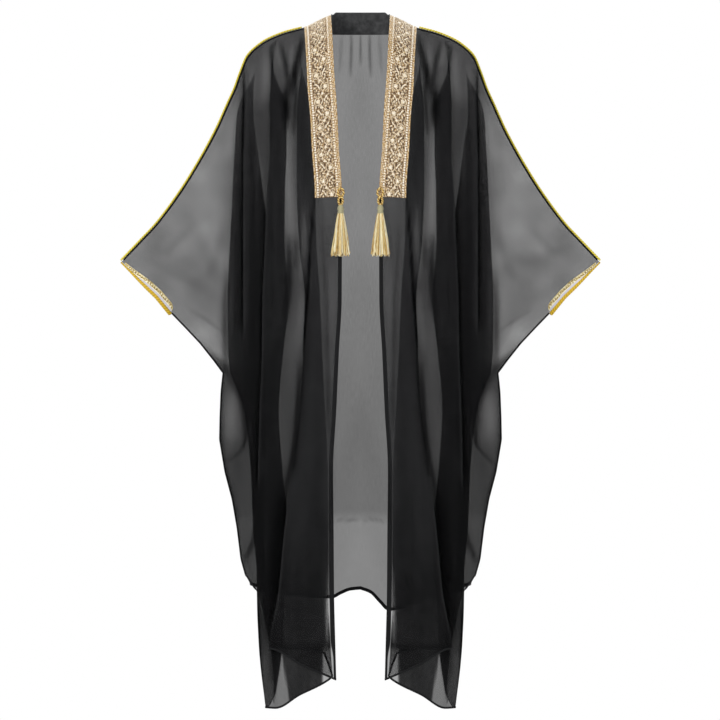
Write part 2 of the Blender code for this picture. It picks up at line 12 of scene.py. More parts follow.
import bpy
import numpy as np
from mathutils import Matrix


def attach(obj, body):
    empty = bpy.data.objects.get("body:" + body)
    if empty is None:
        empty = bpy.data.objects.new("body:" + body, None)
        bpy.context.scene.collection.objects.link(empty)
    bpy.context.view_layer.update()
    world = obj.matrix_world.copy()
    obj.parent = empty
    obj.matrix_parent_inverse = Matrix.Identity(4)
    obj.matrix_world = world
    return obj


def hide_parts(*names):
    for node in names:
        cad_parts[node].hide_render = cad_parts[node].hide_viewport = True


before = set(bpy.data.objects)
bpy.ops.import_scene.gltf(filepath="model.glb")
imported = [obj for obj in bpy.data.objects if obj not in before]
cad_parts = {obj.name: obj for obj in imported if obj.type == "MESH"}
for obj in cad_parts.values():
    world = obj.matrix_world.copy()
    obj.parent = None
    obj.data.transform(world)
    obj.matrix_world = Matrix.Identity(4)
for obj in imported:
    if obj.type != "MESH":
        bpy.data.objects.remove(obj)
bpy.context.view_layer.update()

MM = 0.001
Table = collections.namedtuple("Table", ("columns", "rows"))

# Clearances and layers, in metres
SEAM_GAP = 0.0003
LAYER_STEP = 0.008
FOLD_NOSE = 0.08

# Places along the outline where the cuff ends and the side begins, as values of t
CUFF_END = 0.24
UNDERARM = 0.59

# Shoulder and sleeve ridge in the plane of the shoulders
RIDGE = Table(("from_centre", "height"), (
    (60.5, 31), (74, 26), (116, 6), (153, -4), (192, -20), (216, -37), (231, -53), (245, -86), (257, -119),
    (272, -152), (294, -201), (329, -266), (370, -332), (419, -398), (450, -431), (491, -474),
))

# Cuff, underarm seam and side fold, from the cuff's tip down to the side of the hem
OUTLINE = Table(("t", "from_centre", "height"), (
    (0.00, 491, -474), (0.08, 452, -512), (0.16, 417, -545), (CUFF_END, 388, -580), (0.36, 360, -609),
    (0.47, 329, -642), (0.54, 302, -676), (UNDERARM, 282, -703), (0.63, 286, -742), (0.68, 288, -791),
    (0.73, 289, -840), (0.80, 278, -906), (0.86, 263, -963), (0.92, 253, -1021), (0.97, 245, -1086),
    (1.00, 236, -1118),
))

# Front panel: distance of each station from the centre at each height
FRONT = Table(("height", "edge", "pleat_out", "pleat_in", "crease_out", "crease_in", "sleeve_root"), (
    (31, 60.5, 122, 129, 170, 179, 231),
    (-20, 57, 122, 127, 172, 180, 231),
    (-82, 54, 122, 120, 181, 177, 238),
    (-164, 48, 128, 100, 186, 152, 240),
    (-246, 44, 130, 96, 186, 152, 240),
    (-328, 38.5, 130, 93, 191, 155, 240),
    (-430, 38, 126, 91, 195, 156, 240),
    (-554, 38.5, 114, 83, 200, 148, 240),
    (-656, 44, 117, 79, 201, 158, 240),
    (-779, 49.5, 125, 73, 206, 168, 240),
    (-902, 56, 140, 67, 209, 160, 235),
    (-1025, 55, 155, 66.5, 212, 147, 225),
    (-1148, 54, 167, 66, 212, 155, 214),
    (-1271, 51, 187, 61, 207, 162, 214),
    (-1390, 48, 190, 50, 194, 179, 214),
))
FRONT_STACK = (2, 1, 0, -1, -2, -2)

# Height of the front panel's hem at each station, q, counted from the front edge
FRONT_HEM = Table(("q", "height"), (
    (0.0, -1330), (0.5, -1300), (1.0, -1267), (1.5, -1268), (1.9, -1276), (2.0, -1322), (2.1, -1334),
    (2.5, -1362), (2.86, -1389), (3.0, -1388), (3.5, -1384), (4.0, -1358), (4.5, -1250), (5.0, -1148),
    (6.0, -1118),
))

# Back panel: distance of each station from the centre at each height
BACK = Table(("height", "centre", "fold_out", "fold_in", "sleeve_root"), (
    (31, 0, 203, 212, 236), (-60, 0, 206, 215, 236), (-100, 0, 226, 220, 246), (-164, 0, 254, 222, 264),
    (-246, 0, 260, 212, 270), (-328, 0, 264, 202, 274), (-430, 0, 269, 190, 278), (-554, 0, 274, 192, 281),
    (-656, 0, 273, 192, 280), (-700, 0, 269, 193, 277), (-730, 0, 258, 194, 273), (-779, 0, 241, 196, 264),
    (-902, 0, 227, 199, 252), (-1025, 0, 222, 200, 240), (-1148, 0, 210, 196, 224),
))
BACK_STACK = (1, 0, -1, -1)

# Height of the back panel's hem at each station on the wearer's right and left
BACK_HEM = Table(("q", "right", "left"), (
    (0.0, -1148, -1148), (0.1, -1150, -1156), (0.2, -1158, -1177), (0.28, -1166, -1192),
    (0.5, -1164, -1180), (1.0, -1152, -1152), (3.0, -1138, -1138), (4.0, -1118, -1118),
))

# Soft upright waves of the back, which grow towards the hem
WAVES = Table(("length", "half_height"), (
    (130, 5.0), (83, 2.5),
))
WAVE_TOP = -0.15
WAVE_FULL = -0.80

# How far the cloth stands in front of and behind the shoulders' plane
DEPTH = Table(("height", "depth"), (
    (31, 95), (-150, 112), (-500, 118), (-900, 128), (-1390, 142),
))
DEPTH_HALF_WIDTH = 0.300
SHOULDER_ROUND = 0.100
FOLD_START = 0.070
ARM_BULGE = 0.020
ARM_ROUND = 0.050
CUFF_HALF_OPEN = 0.022

# Neckline and neck band. The neck hole is a squarish oval cut in the back panel.
NECK_HALF = 0.0605
NECK_DEPTH = 0.073
NECK_SQUARE = 6.0
NECK_LEVEL = 0.031
BAND_TOP = 0.037
BAND_END_TOP = 0.0315
BAND_END_ANGLE = 0.995
BAND_WALL = 0.002

# Gold trims, cords and cuff bands
TRIM_WIDTH = 0.055
TRIM_BOTTOM = -0.344
TRIM_WALL = 0.002
EDGE_TOP, EDGE_HEM = RIDGE.rows[0][1] * MM, FRONT_HEM.rows[0][1] * MM
TRIM_FOOT = (EDGE_TOP - TRIM_BOTTOM) / (EDGE_TOP - EDGE_HEM)
CORD_RADIUS = 0.0022
CORD_LIFT = 0.0016
CUFF_CORD_RADIUS = 0.0026
BAND_WIDTH_TIP = 0.005
BAND_WIDTH_FOOT = 0.0155
BAND_FULL = 0.12
BAND_ROUND = 0.022

# Tassels
TASSEL_X = 0.0405
LOOP_HEIGHTS = (-0.3345, -0.3515)
LOOP_RADIUS = 0.0062
LOOP_WIRE = 0.0021
HEAD_TOP = -0.3615
HEAD_BOTTOM = -0.3765
HEAD_RADIUS = 0.0068
SKIRT_BOTTOM = -0.466
SKIRT_RADIUS = 0.0185
SKIRT_FLAT = 0.55


def smooth_through(x, knots, values):
    """Cubic through the knots that never overshoots: a knot's slope is its neighbours' harmonic mean."""
    knots, values = np.asarray(knots, float), np.asarray(values, float)
    step = np.diff(knots)
    rise = np.diff(values) / step
    slope = np.concatenate([rise[:1], np.zeros(len(knots) - 2), rise[-1:]])
    same_way = rise[:-1] * rise[1:] > 0
    total = np.where(same_way, rise[:-1] + rise[1:], 1.0)
    slope[1:-1] = np.where(same_way, 2 * rise[:-1] * rise[1:] / total, 0.0)
    x = np.clip(x, knots[0], knots[-1])
    i = np.clip(np.searchsorted(knots, x, side="right") - 1, 0, len(step) - 1)
    f, h = (x - knots[i]) / step[i], step[i]
    near = (1 + 2 * f) * (1 - f) ** 2 * values[i] + f * (1 - f) ** 2 * h * slope[i]
    far = f * f * (3 - 2 * f) * values[i + 1] + f * f * (f - 1) * h * slope[i + 1]
    return near + far


def column(table, name):
    """A named column of a table as an array, its rows in rising order of the first column."""
    return np.array(sorted(table.rows), float)[:, table.columns.index(name)]


def from_table(table, name, x):
    """Smooth value of a table's column, in metres, where its first column, in millimetres, is x metres."""
    return smooth_through(x, column(table, table.columns[0]) * MM, column(table, name) * MM)


def by_station(table, name, q):
    """Smooth height, in metres, at station q of a table whose first column is the station."""
    return smooth_through(q, column(table, "q"), column(table, name) * MM)


def ridge_height(x):
    return from_table(RIDGE, "height", x)


def outline(t):
    """(distance from the centre, height) of the cuff, underarm and side at t."""
    places = column(OUTLINE, "t")
    return tuple(np.interp(t, places, column(OUTLINE, name) * MM) for name in OUTLINE.columns[1:])


def quarter_round(distance, radius):
    """0 at the ridge, rising as a quarter circle to 1 at the radius."""
    return np.sqrt(1 - (1 - np.clip(distance / radius, 0, 1)) ** 2)


def ease(x):
    x = np.clip(x, 0, 1)
    return x * x * (3 - 2 * x)


def stack_level(q, levels):
    """Layer that the cloth is in at station q: level, but for round noses where it doubles back."""
    levels = np.array(levels, float)
    k = np.clip(np.floor(q).astype(int), 0, len(levels) - 1)
    f = q - k
    before, after = levels[np.maximum(k - 1, 0)], levels[np.minimum(k + 1, len(levels) - 1)]
    start = 1 - np.sqrt(1 - np.clip(1 - f / FOLD_NOSE, 0, 1) ** 2)
    end = 1 - np.sqrt(1 - np.clip(1 - (1 - f) / FOLD_NOSE, 0, 1) ** 2)
    return levels[k] + (before - levels[k]) / 2 * start + (after - levels[k]) / 2 * end


def station_x(table, q, z):
    """Distance from the centre at station q and height z, between the two stations beside q."""
    stations = table.columns[1:]
    k = np.clip(np.floor(q).astype(int), 0, len(stations) - 2)
    lines = np.stack([from_table(table, name, z) for name in stations])
    low = np.take_along_axis(lines, k[None], 0)[0]
    high = np.take_along_axis(lines, k[None] + 1, 0)[0]
    return low + (high - low) * (q - k)


def body_depth(x, z):
    """How far the cloth stands off the shoulders' plane at x and height z: half an ellipse in plan."""
    return from_table(DEPTH, "depth", z) * np.sqrt(np.clip(1 - (x / DEPTH_HALF_WIDTH) ** 2, 0.02, 1))


def neck_y(x):
    """Back neckline in plan: half a squarish oval behind the shoulders' plane."""
    side = np.clip(1 - np.abs(x / NECK_HALF) ** NECK_SQUARE, 0, 1)
    return SEAM_GAP / 2 + (NECK_DEPTH - SEAM_GAP / 2) * side ** (1 / NECK_SQUARE)


def neck_z(x):
    """Height of the neckline: where the rounded top of the back reaches as far back as the neckline does."""
    reach = np.clip(neck_y(x) / body_depth(x, np.zeros_like(x)), 0, 1)
    return NECK_LEVEL - SHOULDER_ROUND * (1 - np.sqrt(1 - reach**2))


def drape_waves(x, z):
    """Sum of upright cosine waves in x, which fade out towards the shoulders."""
    lengths, heights = np.array(WAVES.rows).T * MM
    total = sum(height * np.cos(2 * math.pi * x / length) for length, height in zip(lengths, heights))
    return total * ease((WAVE_TOP - z) / (WAVE_TOP - WAVE_FULL))


def panel_points(q, t, table, stack, hem_table, hem_column, is_back):
    """Points of half a panel on the grid q by t: from the centre, off the shoulders' plane, height.

    Up to the sleeve root a column hangs from the ridge and its stations are read from the table. Past it the
    points lie between the root and the outline, and follow the ridge at the top.
    """
    root = len(table.columns) - 2
    q, t = np.meshgrid(q, t)
    body_q, sleeve = np.minimum(q, root), np.clip(q - root, 0, 1)
    top_x = station_x(table, body_q, np.full_like(q, -0.02))
    for _ in range(4):
        top_x = station_x(table, body_q, ridge_height(top_x))
    level = ridge_height(top_x)
    top_z = np.where(is_back & (top_x < NECK_HALF), neck_z(top_x), level)
    z = top_z + (by_station(hem_table, hem_column, body_q) - top_z) * t
    x = np.where(t > 0, station_x(table, body_q, z), top_x)
    drop = level - z
    y = SEAM_GAP / 2 + (body_depth(x, z) - SEAM_GAP / 2) * quarter_round(drop, SHOULDER_ROUND)
    y = y + LAYER_STEP * stack_level(body_q, stack) * ease((top_z - z) / FOLD_START)
    if is_back:
        y = y + drape_waves(x, z)

    out_x, out_z = outline(t)
    out_x, out_z = np.broadcast_to(out_x, q.shape), np.broadcast_to(out_z, q.shape)
    straight_x, straight_z = x + (out_x - x) * sleeve, z + (out_z - z) * sleeve
    tip_x, tip_z = np.array(RIDGE.rows[-1]) * MM
    line_x, line_z = top_x + (tip_x - top_x) * sleeve, top_z + (tip_z - top_z) * sleeve
    sag = (ridge_height(line_x) - line_z) * np.clip(1 - t / 0.45, 0, 1) ** 1.5 * (sleeve > 0)
    open_cuff = CUFF_HALF_OPEN * np.sin(math.pi * np.clip(t / CUFF_END, 0, 1)) ** 0.7
    edge_y = SEAM_GAP / 2 + open_cuff
    round_side = ease((t - UNDERARM + 0.1) / 0.2)
    share = (1 - sleeve) * (1 - round_side) + np.sqrt(1 - sleeve**2) * round_side
    arm = ARM_BULGE * np.sin(math.pi * sleeve) * quarter_round(t * 1.2, ARM_ROUND) * np.exp(-((t / 0.3) ** 2))
    y = np.where(sleeve > 0, y * share + edge_y * (1 - share) + arm * (t > 0), y)
    return np.stack([straight_x, y, straight_z + sag], axis=-1)


# Fine grids: how many columns lie between each two stations, and how many in the sleeve
FRONT_COLUMNS = (26, 14, 56, 14, 18)
BACK_COLUMNS = (60, 14, 16)
SLEEVE_COLUMNS = 46
TOP_ROWS = 26
LOWER_ROWS = 150
TOP_SHARE = 0.08
SHELL = 0.0006
PATH_PLACES = 80
NOISE_WAVES = 8
TUBE_SIDES = 8
CORD_SIDES = 12

# How dark one layer of cloth is: its optical depth where it hangs free and where the sleeve is spread, what
# it gains and loses at the height named, over the height named, and how uneven it is
DEPTH_BODY = 1.45
DEPTH_SLEEVE = 0.80
SLEEVE_FROM = 0.225
SLEEVE_TO = 0.300
SPREAD_END, SPREAD_SLOPE, SPREAD_OVER = -0.655, 0.6, 0.03
FRONT_LOW_GAIN, FRONT_LOW_FROM, FRONT_LOW_OVER = 0.3, -1.10, 0.06
BACK_MIDDLE = 1.42
BACK_GAIN, BACK_GAIN_FROM, BACK_GAIN_OVER = 0.38, -0.25, 0.7
BACK_LOSS, BACK_LOSS_FROM, BACK_LOSS_OVER = 0.36, -0.985, 0.03
UNEVEN_FRONT, UNEVEN_BACK, UNEVEN_SLEEVE = 0.16, 0.05, 0.10

# Hems, borders and seams
HEM_WIDTH = 0.0042
HEM_THICK = 0.0022
BACK_HEM_WIDTH = 0.0070
SEAM_WIDTH = 0.0036
SEAM_THICK = 0.0020
SEAM_SINK = 0.0008
TO_FRONT = np.array([[0, 1.0, 0]])
HEM_ROWS = np.array([0.99, 0.994, 0.999])
HIDDEN_FROM, HIDDEN_TO, HIDDEN_OVER = 3.0, 4.9, 0.3
BORDER_WIDTH = 0.0075
BORDER_WALL = 0.0008
BORDER_ROWS = 150
BORDER_POINTS = 5

# Camera and floor. A view through all the folds passes many see-through faces.
PIXEL = 0.00205
IMAGE_SIDE = 720
CAMERA_DISTANCE = 20.0
SENSOR = 36.0
VIEW_HEIGHT = -0.6765
BODY_FRONT = 0.06
CLEAR_BOUNCES = 48
FLOOR_HEIGHT = -1.52
FLOOR_RADIUS = 2.6
FLOOR_POINTS = 96

# Creases laid on the panels: path (distance from the centre, height) in millimetres, half width and
# rise in millimetres, the optical depth that it adds, and the painted shadow line (dark) and painted
# highlight line (light) on its far and near side
CREASES = Table(("panel", "q_low", "q_high", "path", "half_width", "rise", "depth", "dark", "light"), (
    ("front", 1.9, 5.2, ((186, -154), (189, -246), (193, -348), (194, -451), (200, -554), (201, -656),
     (205, -779), (209, -902), (212, -1025), (213, -1148)), 3.5, 1.5, 0.6, 0.0, 0.0),
    ("front", 0.0, 4.0, ((165, -902), (171, -1025), (183, -1144), (194, -1261)), 15, 2.0, 0.9, 0.2, 0.0),
    ("front", 0.0, 4.0, ((94, -330), (99, -400), (104, -471), (107, -533), (111, -585),
     (117, -656)), 2.6, 1.5, 1.2, 1.0, 0.2),
    ("front", 0.0, 3.0, ((115, -360), (114, -430), (116, -505)), 9, 0.5, -0.9, -0.55, 0.0),
    ("front", 2.0, 3.0, ((131, -425), (132, -455), (133, -490)), 6, 0.5, 0.8, 0.0, 0.0),
    ("front", 1.0, 4.0, ((119, -530), (123, -600), (128, -660)), 9, 0.5, -0.6, -0.1, 0.0),
    ("front", 2.0, 3.0, ((148, -425), (146, -480), (147, -530), (154, -600)), 6.5, 0.5, 2.0, 0.3, 0.0),
    ("front", 0.0, 4.0, ((136, -70), (133, -120), (134, -170), (138, -215)), 4.5, 0.5, 1.4, 0.5, 0.0),
    ("front", 2.0, 3.0, ((154, -120), (151, -165), (152, -205)), 4.5, 0.5, 1.2, 0.4, 0.0),
    ("front", 2.0, 3.0, ((123, -690), (125, -720), (132, -820), (140, -880), (150, -930),
     (153, -965)), 5, 0.5, 2.2, 0.4, 0.0),
    ("front", 0.0, 1.0, ((79, -395), (75, -471), (70, -533), (68, -615), (66, -717),
     (67, -820)), 3.5, 1.0, 0.5, 0.25, 0.0),
    ("front", 0.0, 1.0, ((61, -490), (58, -560), (58, -640)), 8, 0.5, -0.35, -0.1, 0.0),
    ("front", 3.9, 6.0, ((240, -80), (239, -125), (240, -180), (241, -260)), 2.4, 0.5, 2.2, 1.0, 0.0),
    ("front", 3.9, 6.0, ((234, -82), (236, -164), (239, -246), (240, -348), (240, -451), (239, -554),
     (239, -636)), 4.5, 2.0, 1.0, 0.0, 0.0),
    ("front", 3.9, 6.0, ((227, -769), (230, -810), (235, -840), (247, -865),
     (276, -888)), 3.5, 1.5, 0.9, 0.45, 0.55),
    ("front", 3.9, 6.0, ((212, -1000), (218, -1041), (229, -1070), (238, -1091)), 5, 1.2, 1.2, 0.5, 0.1),
    ("front", 4.9, 6.0, ((276, -693), (261, -722), (249, -746), (239, -779), (235, -820),
     (235, -851)), 7, 2.0, 1.3, 0.45, 0.15),
    ("front", 3.0, 5.2, ((167, -20), (183, -41), (180, -66), (178, -113),
     (183, -164)), 5, 2.0, 1.3, 0.7, 0.2),
    ("front", 1.0, 4.2, ((165, -25), (155, -64), (150, -92), (146, -133)), 5, 2.0, 1.1, 0.6, 0.1),
    ("front", 0.0, 4.0, ((118, -12), (121, -33), (128, -59), (138, -98),
     (145, -133)), 6, 2.0, 1.4, 0.7, 0.0),
    ("front", 0.0, 4.0, ((120, -51), (130, -92), (139, -127), (146, -180)), 4, 1.2, 0.3, 0.1, 0.9),
    ("front", 0.0, 4.0, ((155, -123), (153, -156), (149, -189)), 8, 1.0, 1.6, 0.5, 0.0),
    ("front", 0.0, 2.0, ((126, -92), (120, -184), (114, -308)), 12, 2.0, 0.9, 0.2, 0.0),
    ("front", 3.9, 5.2, ((212, -72), (208, -164), (200, -277)), 9, 2.5, 0.45, 0.15, 0.15),
    ("front", 4.0, 5.2, ((225, -120), (222, -250), (221, -420), (222, -600),
     (226, -760)), 9, 2.5, 0.5, 0.3, 0.2),
    ("front", 0.0, 1.0, ((80, -420), (78, -600), (84, -800), (90, -1000),
     (92, -1180)), 16, 3.0, 0.3, 0.15, 0.15),
    ("front", 0.0, 1.0, ((63, -717), (60, -902), (60, -1086), (60, -1168)), 7, 1.0, 0.9, 0.2, 0.0),
    ("front", 5.0, 6.0, ((411, -467), (366, -488), (319, -549), (278, -590)), 34, 3.0, 0.28, 0.0, 0.0),
    ("front", 5.0, 6.0, ((356, -570), (319, -592), (276, -623)), 3, 1.0, 0.25, 0.2, 0.1),
    ("front", 5.0, 6.0, ((339, -615), (302, -646), (284, -681)), 18, 1.5, -0.18, 0.0, 0.0),
    ("front", 5.0, 6.0, ((440, -440), (402, -455), (372, -430), (345, -400)), 8, 1.8, 0.16, 0.1, 0.1),
    ("front", 5.0, 6.0, ((345, -520), (312, -500), (287, -440), (272, -380)), 9, 2.0, 0.16, 0.1, 0.1),
    ("front", 2.0, 3.0, ((146, -200), (146, -330), (148, -490)), 14, 1.0, -1.0, -0.25, 0.0),
    ("front", 2.0, 3.0, ((140, -560), (144, -700), (150, -790)), 13, 1.0, -0.35, 0.0, 0.0),
    ("front", 4.0, 5.2, ((193, -35), (195, -95), (201, -150)), 13, 1.0, -0.65, -0.1, 0.0),
    ("front", 4.9, 6.0, ((270, -735), (266, -800), (262, -850)), 20, 1.5, -1.05, -0.25, 0.0),
    ("front", 4.9, 6.0, ((275, -500), (277, -600), (276, -695)), 7, 1.5, 1.1, 0.3, 0.1),
    ("front", 4.9, 6.0, ((285, -725), (288, -800), (284, -870), (270, -930), (257, -990),
     (249, -1075)), 5, 0.5, 0.7, 0.3, 0.0),
    ("front", 5.0, 6.0, ((385, -350), (350, -345), (325, -380)), 26, 2.0, -0.15, 0.0, 0.0),
    ("front", 5.0, 6.0, ((252, -140), (262, -195), (270, -270)), 13, 1.0, -0.35, 0.0, 0.0),
    ("front", 4.0, 5.2, ((222, -70), (220, -110), (214, -150)), 12, 0.5, -0.45, -0.1, 0.0),
    ("front", 2.0, 4.2, ((170, -25), (166, -50), (164, -80)), 9, 0.5, -0.5, -0.1, 0.0),
    ("front", 2.0, 4.2, ((139, -25), (141, -60), (143, -95)), 8, 0.5, -0.5, -0.1, 0.0),
    ("front", 0.0, 4.0, ((67, -1100), (67, -1190), (68, -1262)), 5.5, 0.5, -1.3, -0.25, 0.0),
    ("front", 1.9, 4.2, ((211, -1150), (208, -1230), (205, -1300), (196, -1385)), 2.6, 0.3, 2.2, 0.9, 0.0),
    ("front", 2.0, 3.0, ((183, -1225), (179, -1280), (180, -1330)), 9, 0.5, 1.3, 0.3, 0.0),
    ("back", 0.0, 1.0, ((0, -2), (0, -22), (1, -66)), 2.4, 1.2, 0.4, 0.3, 0.0),
    ("back", 0.0, 1.0, ((19, -2), (19, -26), (21, -90)), 2.6, 1.5, 0.7, 0.4, 0.0),
    ("back", 0.0, 1.0, ((39, -6), (40, -30), (43, -80)), 2.4, 1.2, 0.25, 0.2, 0.0),
    ("back", 0.0, 1.0, ((54, -1011), (26, -1007), (4, -1009)), 3, 0.8, 0.30, 0.2, 0.1),
    ("back_left", 0.0, 1.0, ((95, -40), (103, -220), (112, -480), (118, -800)), 13, 4.0, 0.18, 0.15, 0.15),
    ("back_left", 0.0, 1.0, ((150, -60), (141, -260), (138, -520), (149, -980)), 10, 3.5, 0.15, 0.15, 0.2),
    ("back_left", 0.0, 1.0, ((188, -70), (186, -300), (178, -640), (182, -1080)), 12, 4.0, 0.2, 0.2, 0.2),
    ("back_left", 0.0, 1.0, ((238, -200), (240, -380), (238, -560), (222, -700)), 9, 3.0, 0.2, 0.2, 0.2),
    ("back_left", 0.0, 1.0, ((70, -560), (74, -760), (71, -980), (78, -1100)), 11, 3.0, 0.12, 0.1, 0.1),
    ("back_right", 0.0, 1.0, ((84, -50), (97, -260), (99, -520), (108, -900)), 12, 4.0, 0.18, 0.15, 0.15),
    ("back_right", 0.0, 1.0, ((131, -50), (144, -330), (150, -640), (146, -1090)), 11, 3.5, 0.18, 0.15, 0.2),
    ("back_right", 0.0, 1.0, ((176, -60), (190, -240), (196, -460), (193, -760)), 9, 3.0, 0.15, 0.2, 0.2),
    ("back_right", 0.0, 1.0, ((231, -180), (243, -330), (241, -600), (228, -740)), 10, 3.5, 0.2, 0.2, 0.2),
    ("back_right", 0.0, 1.0, ((58, -640), (63, -820), (60, -1040)), 10, 2.5, 0.12, 0.1, 0.1),
    ("back_left", 3.0, 4.0, ((415, -445), (372, -470), (322, -470), (285, -430)), 10, 2.5, 0.15, 0.1, 0.15),
    ("back_left", 3.0, 4.0, ((392, -530), (345, -560), (305, -600), (282, -650)), 8, 2.0, 0.12, 0.1, 0.1),
    ("back_right", 3.0, 4.0, ((430, -470), (380, -500), (335, -520), (290, -560)), 9, 2.5, 0.15, 0.1, 0.15),
    ("back_right", 3.0, 4.0, ((352, -380), (325, -440), (300, -500), (284, -600)), 9, 2.0, 0.12, 0.1, 0.1),
))

# Painted shadow and highlight lines that follow the front panel's folds: on which side of which fold's edge,
# between which heights, how far they reach from it, and how dark (below 0, painted shadow) or light (above 0,
# painted highlight) they are
FOLD_LINES = Table(("fold", "outside", "top", "bottom", "reach", "tint"), (
    ("crease_out", True, -90, -960, 8, -1.2),
    ("crease_out", False, -200, -960, 2.5, 0.75),
    ("pleat_out", False, -330, -940, 9, -0.5),
    ("pleat_out", True, -900, -1268, 26, -0.8),
    ("pleat_out", False, -930, -1268, 2.2, 0.9),
    ("sleeve_root", True, -50, -640, 9, -1.2),
    ("sleeve_root", False, -80, -640, 6, 0.25),
))

# Where the cloth under a fold's edge starts to darken it, where it does so in full, and its least share: the
# layers lie from the first to the last station, on the side of the edge towards the centre
OVERLAPS = Table(("panel", "fold", "first", "last", "start", "full", "least"), (
    ("front", "pleat_out", 1, 3, -15, -150, 0.15),
    ("front", "crease_out", 3, 5, -30, -190, 0.15),
    ("back", "fold_out", 1, 3, -110, -480, 0.45),
))

# No spot of the back panel is clearer than this depth
BACK_LEAST_DEPTH = 0.6

# The front panel's turned-up foot hangs doubled, but for a wedge where one layer shows, in metres
FOOT_TOP = -1.262
FOOT_DEPTH = 2.1
WEDGE_X = 0.161
WEDGE_TOP = -1.275
WEDGE_SPREAD = 0.165
WEDGE_EDGE = 0.004
SIDE_FOOT_X = 0.172
CORNER_X = 0.078
FOOT_OVER = 0.012
BESIDE_TOP = -1.19
BESIDE_LOSS = 0.14
CORNER_LOSS = 0.45


def unit(vectors):
    return vectors / np.maximum(np.linalg.norm(vectors, axis=-1, keepdims=True), 1e-9)


def grid_normals(points):
    """Unit normals of a grid of points, from the directions along its rows and columns."""
    return unit(np.cross(np.gradient(points, axis=1), np.gradient(points, axis=0)))


def soft_noise(x, z, size, seed):
    """Smooth uneven field from -1 to 1: plane cosine waves of about the given size, in seeded directions."""
    rng = np.random.default_rng(seed)
    total = np.zeros_like(x)
    for _ in range(NOISE_WAVES):
        angle, phase = rng.uniform(0, 2 * math.pi, 2)
        rate = 2 * math.pi / (size * rng.uniform(0.6, 1.6))
        total += np.cos(rate * (x * math.cos(angle) + z * math.sin(angle)) + phase)
    return total / (NOISE_WAVES / 2)


def lengths_along(path):
    """Distance along a path of points at each of them."""
    return np.concatenate([[0], np.cumsum(np.linalg.norm(np.diff(path, axis=0), axis=1))])


def near_path(x, z, path):
    """(distance from a path, share of the way along it, offset across it) of each point.

    The path is smoothed and sampled at PATH_PLACES. The offset is from the nearest, away from the centre.
    """
    path = np.array(path, float) * MM
    length = lengths_along(path)
    s = np.linspace(0, length[-1], PATH_PLACES)
    line = np.stack([smooth_through(s, length, path[:, k]) for k in (0, 1)], axis=-1)
    ahead = unit(np.gradient(line, axis=0))
    gap = np.hypot(x[..., None] - line[:, 0], z[..., None] - line[:, 1])
    nearest = gap.argmin(-1)
    across = (x - line[nearest, 0]) * -ahead[nearest, 1] + (z - line[nearest, 1]) * ahead[nearest, 0]
    return np.take_along_axis(gap, nearest[..., None], -1)[..., 0], nearest / (PATH_PLACES - 1.0), across


def creases(points, q, panels):
    """(rise, added optical depth, painted shading) of the panels' creases.

    Each is a bell across its path, faded at both ends. The painted shading is a painted shadow line along it
    and a painted highlight line beside it towards the centre. The cloth is also denser where the crease's
    flanks slope.
    """
    rise, more, tint = np.zeros((3,) + points.shape[:2])
    for name, low, high, path, half_width, height, depth, dark, light in CREASES.rows:
        if name not in panels:
            continue
        gap, along, across = near_path(points[..., 0], points[..., 2], path)
        size = half_width * MM
        fade = (q >= low) & (q <= high)
        fade = fade * np.clip(np.sin(math.pi * np.clip(along, 0.02, 0.98)), 0, 1) ** 0.45
        bell = np.exp(-((gap / size) ** 2))
        rise += fade * height * MM * bell
        more += fade * (depth * bell + 0.5 * (height * MM) * gap / size**2 * bell)
        near = np.exp(-(((across + 1.3 * size) / (0.0016 + 0.2 * size)) ** 2)) * (gap < 4 * size)
        # Painted shadow line along the crease, and painted highlight line beside it towards the centre
        tint += fade * (light * near - dark * bell)
    return rise, more, np.clip(tint, -1, 1)


def fine_stations(counts):
    """Stations of a fine grid, closer together next to each fold, and then those across the sleeve."""
    parts = [k + 0.5 - 0.5 * np.cos(math.pi * np.arange(n) / n) for k, n in enumerate(counts)]
    return np.concatenate(parts + [len(counts) + np.linspace(0, 1, SLEEVE_COLUMNS + 1) ** 1.4])


def fine_rows():
    top = TOP_SHARE * (np.arange(TOP_ROWS) / TOP_ROWS) ** 2
    return np.concatenate([top, np.linspace(TOP_SHARE, 1, LOWER_ROWS)])


def front_half(q, t):
    return panel_points(q, t, FRONT, FRONT_STACK, FRONT_HEM, "height", False)


def back_half(q, t, side=1):
    """Half of the back on the wearer's left, side 1, or right, side -1."""
    return panel_points(q, t, BACK, BACK_STACK, BACK_HEM, "left" if side > 0 else "right", True)


def placed(points, side, front):
    """Half-panel points in place: side is +1 for the wearer's left, front puts them before the body."""
    return points * np.array([side, -1 if front else 1, 1])


def inward(points, flat_top, flat_side):
    """Unit directions into the wall. At a seam they stay in the shoulders' plane, so walls meet square."""
    normals = -grid_normals(points)
    for flat, line in ((flat_top, np.s_[0, :]), (flat_side, np.s_[:, -1])):
        level = normals[line] * [1, 0, 1]
        normals[line] = np.where(flat[:, None], unit(level), normals[line])
    return normals


def grid_quads(rows, columns, first=0):
    """The four corners of each cell of a grid whose points start at index first."""
    i, j = np.meshgrid(np.arange(rows - 1), np.arange(columns - 1), indexing="ij")
    a = (first + i * columns + j).ravel()
    return np.stack([a, a + 1, a + columns + 1, a + columns], 1)


def wall_mesh(outer, inner):
    """Points and quads of the closed wall between two grids of points."""
    rows, columns = outer.shape[:2]
    count = rows * columns
    index = np.arange(count).reshape(rows, columns)
    rim = np.concatenate([index[0, :-1], index[:-1, -1], index[-1, :0:-1], index[:0:-1, 0]])
    after = np.roll(rim, -1)
    sides = np.stack([after, rim, rim + count, after + count], 1)
    faces = [grid_quads(rows, columns), grid_quads(rows, columns, count)[:, ::-1], sides]
    return np.concatenate([outer.reshape(-1, 3), inner.reshape(-1, 3)]), np.concatenate(faces)


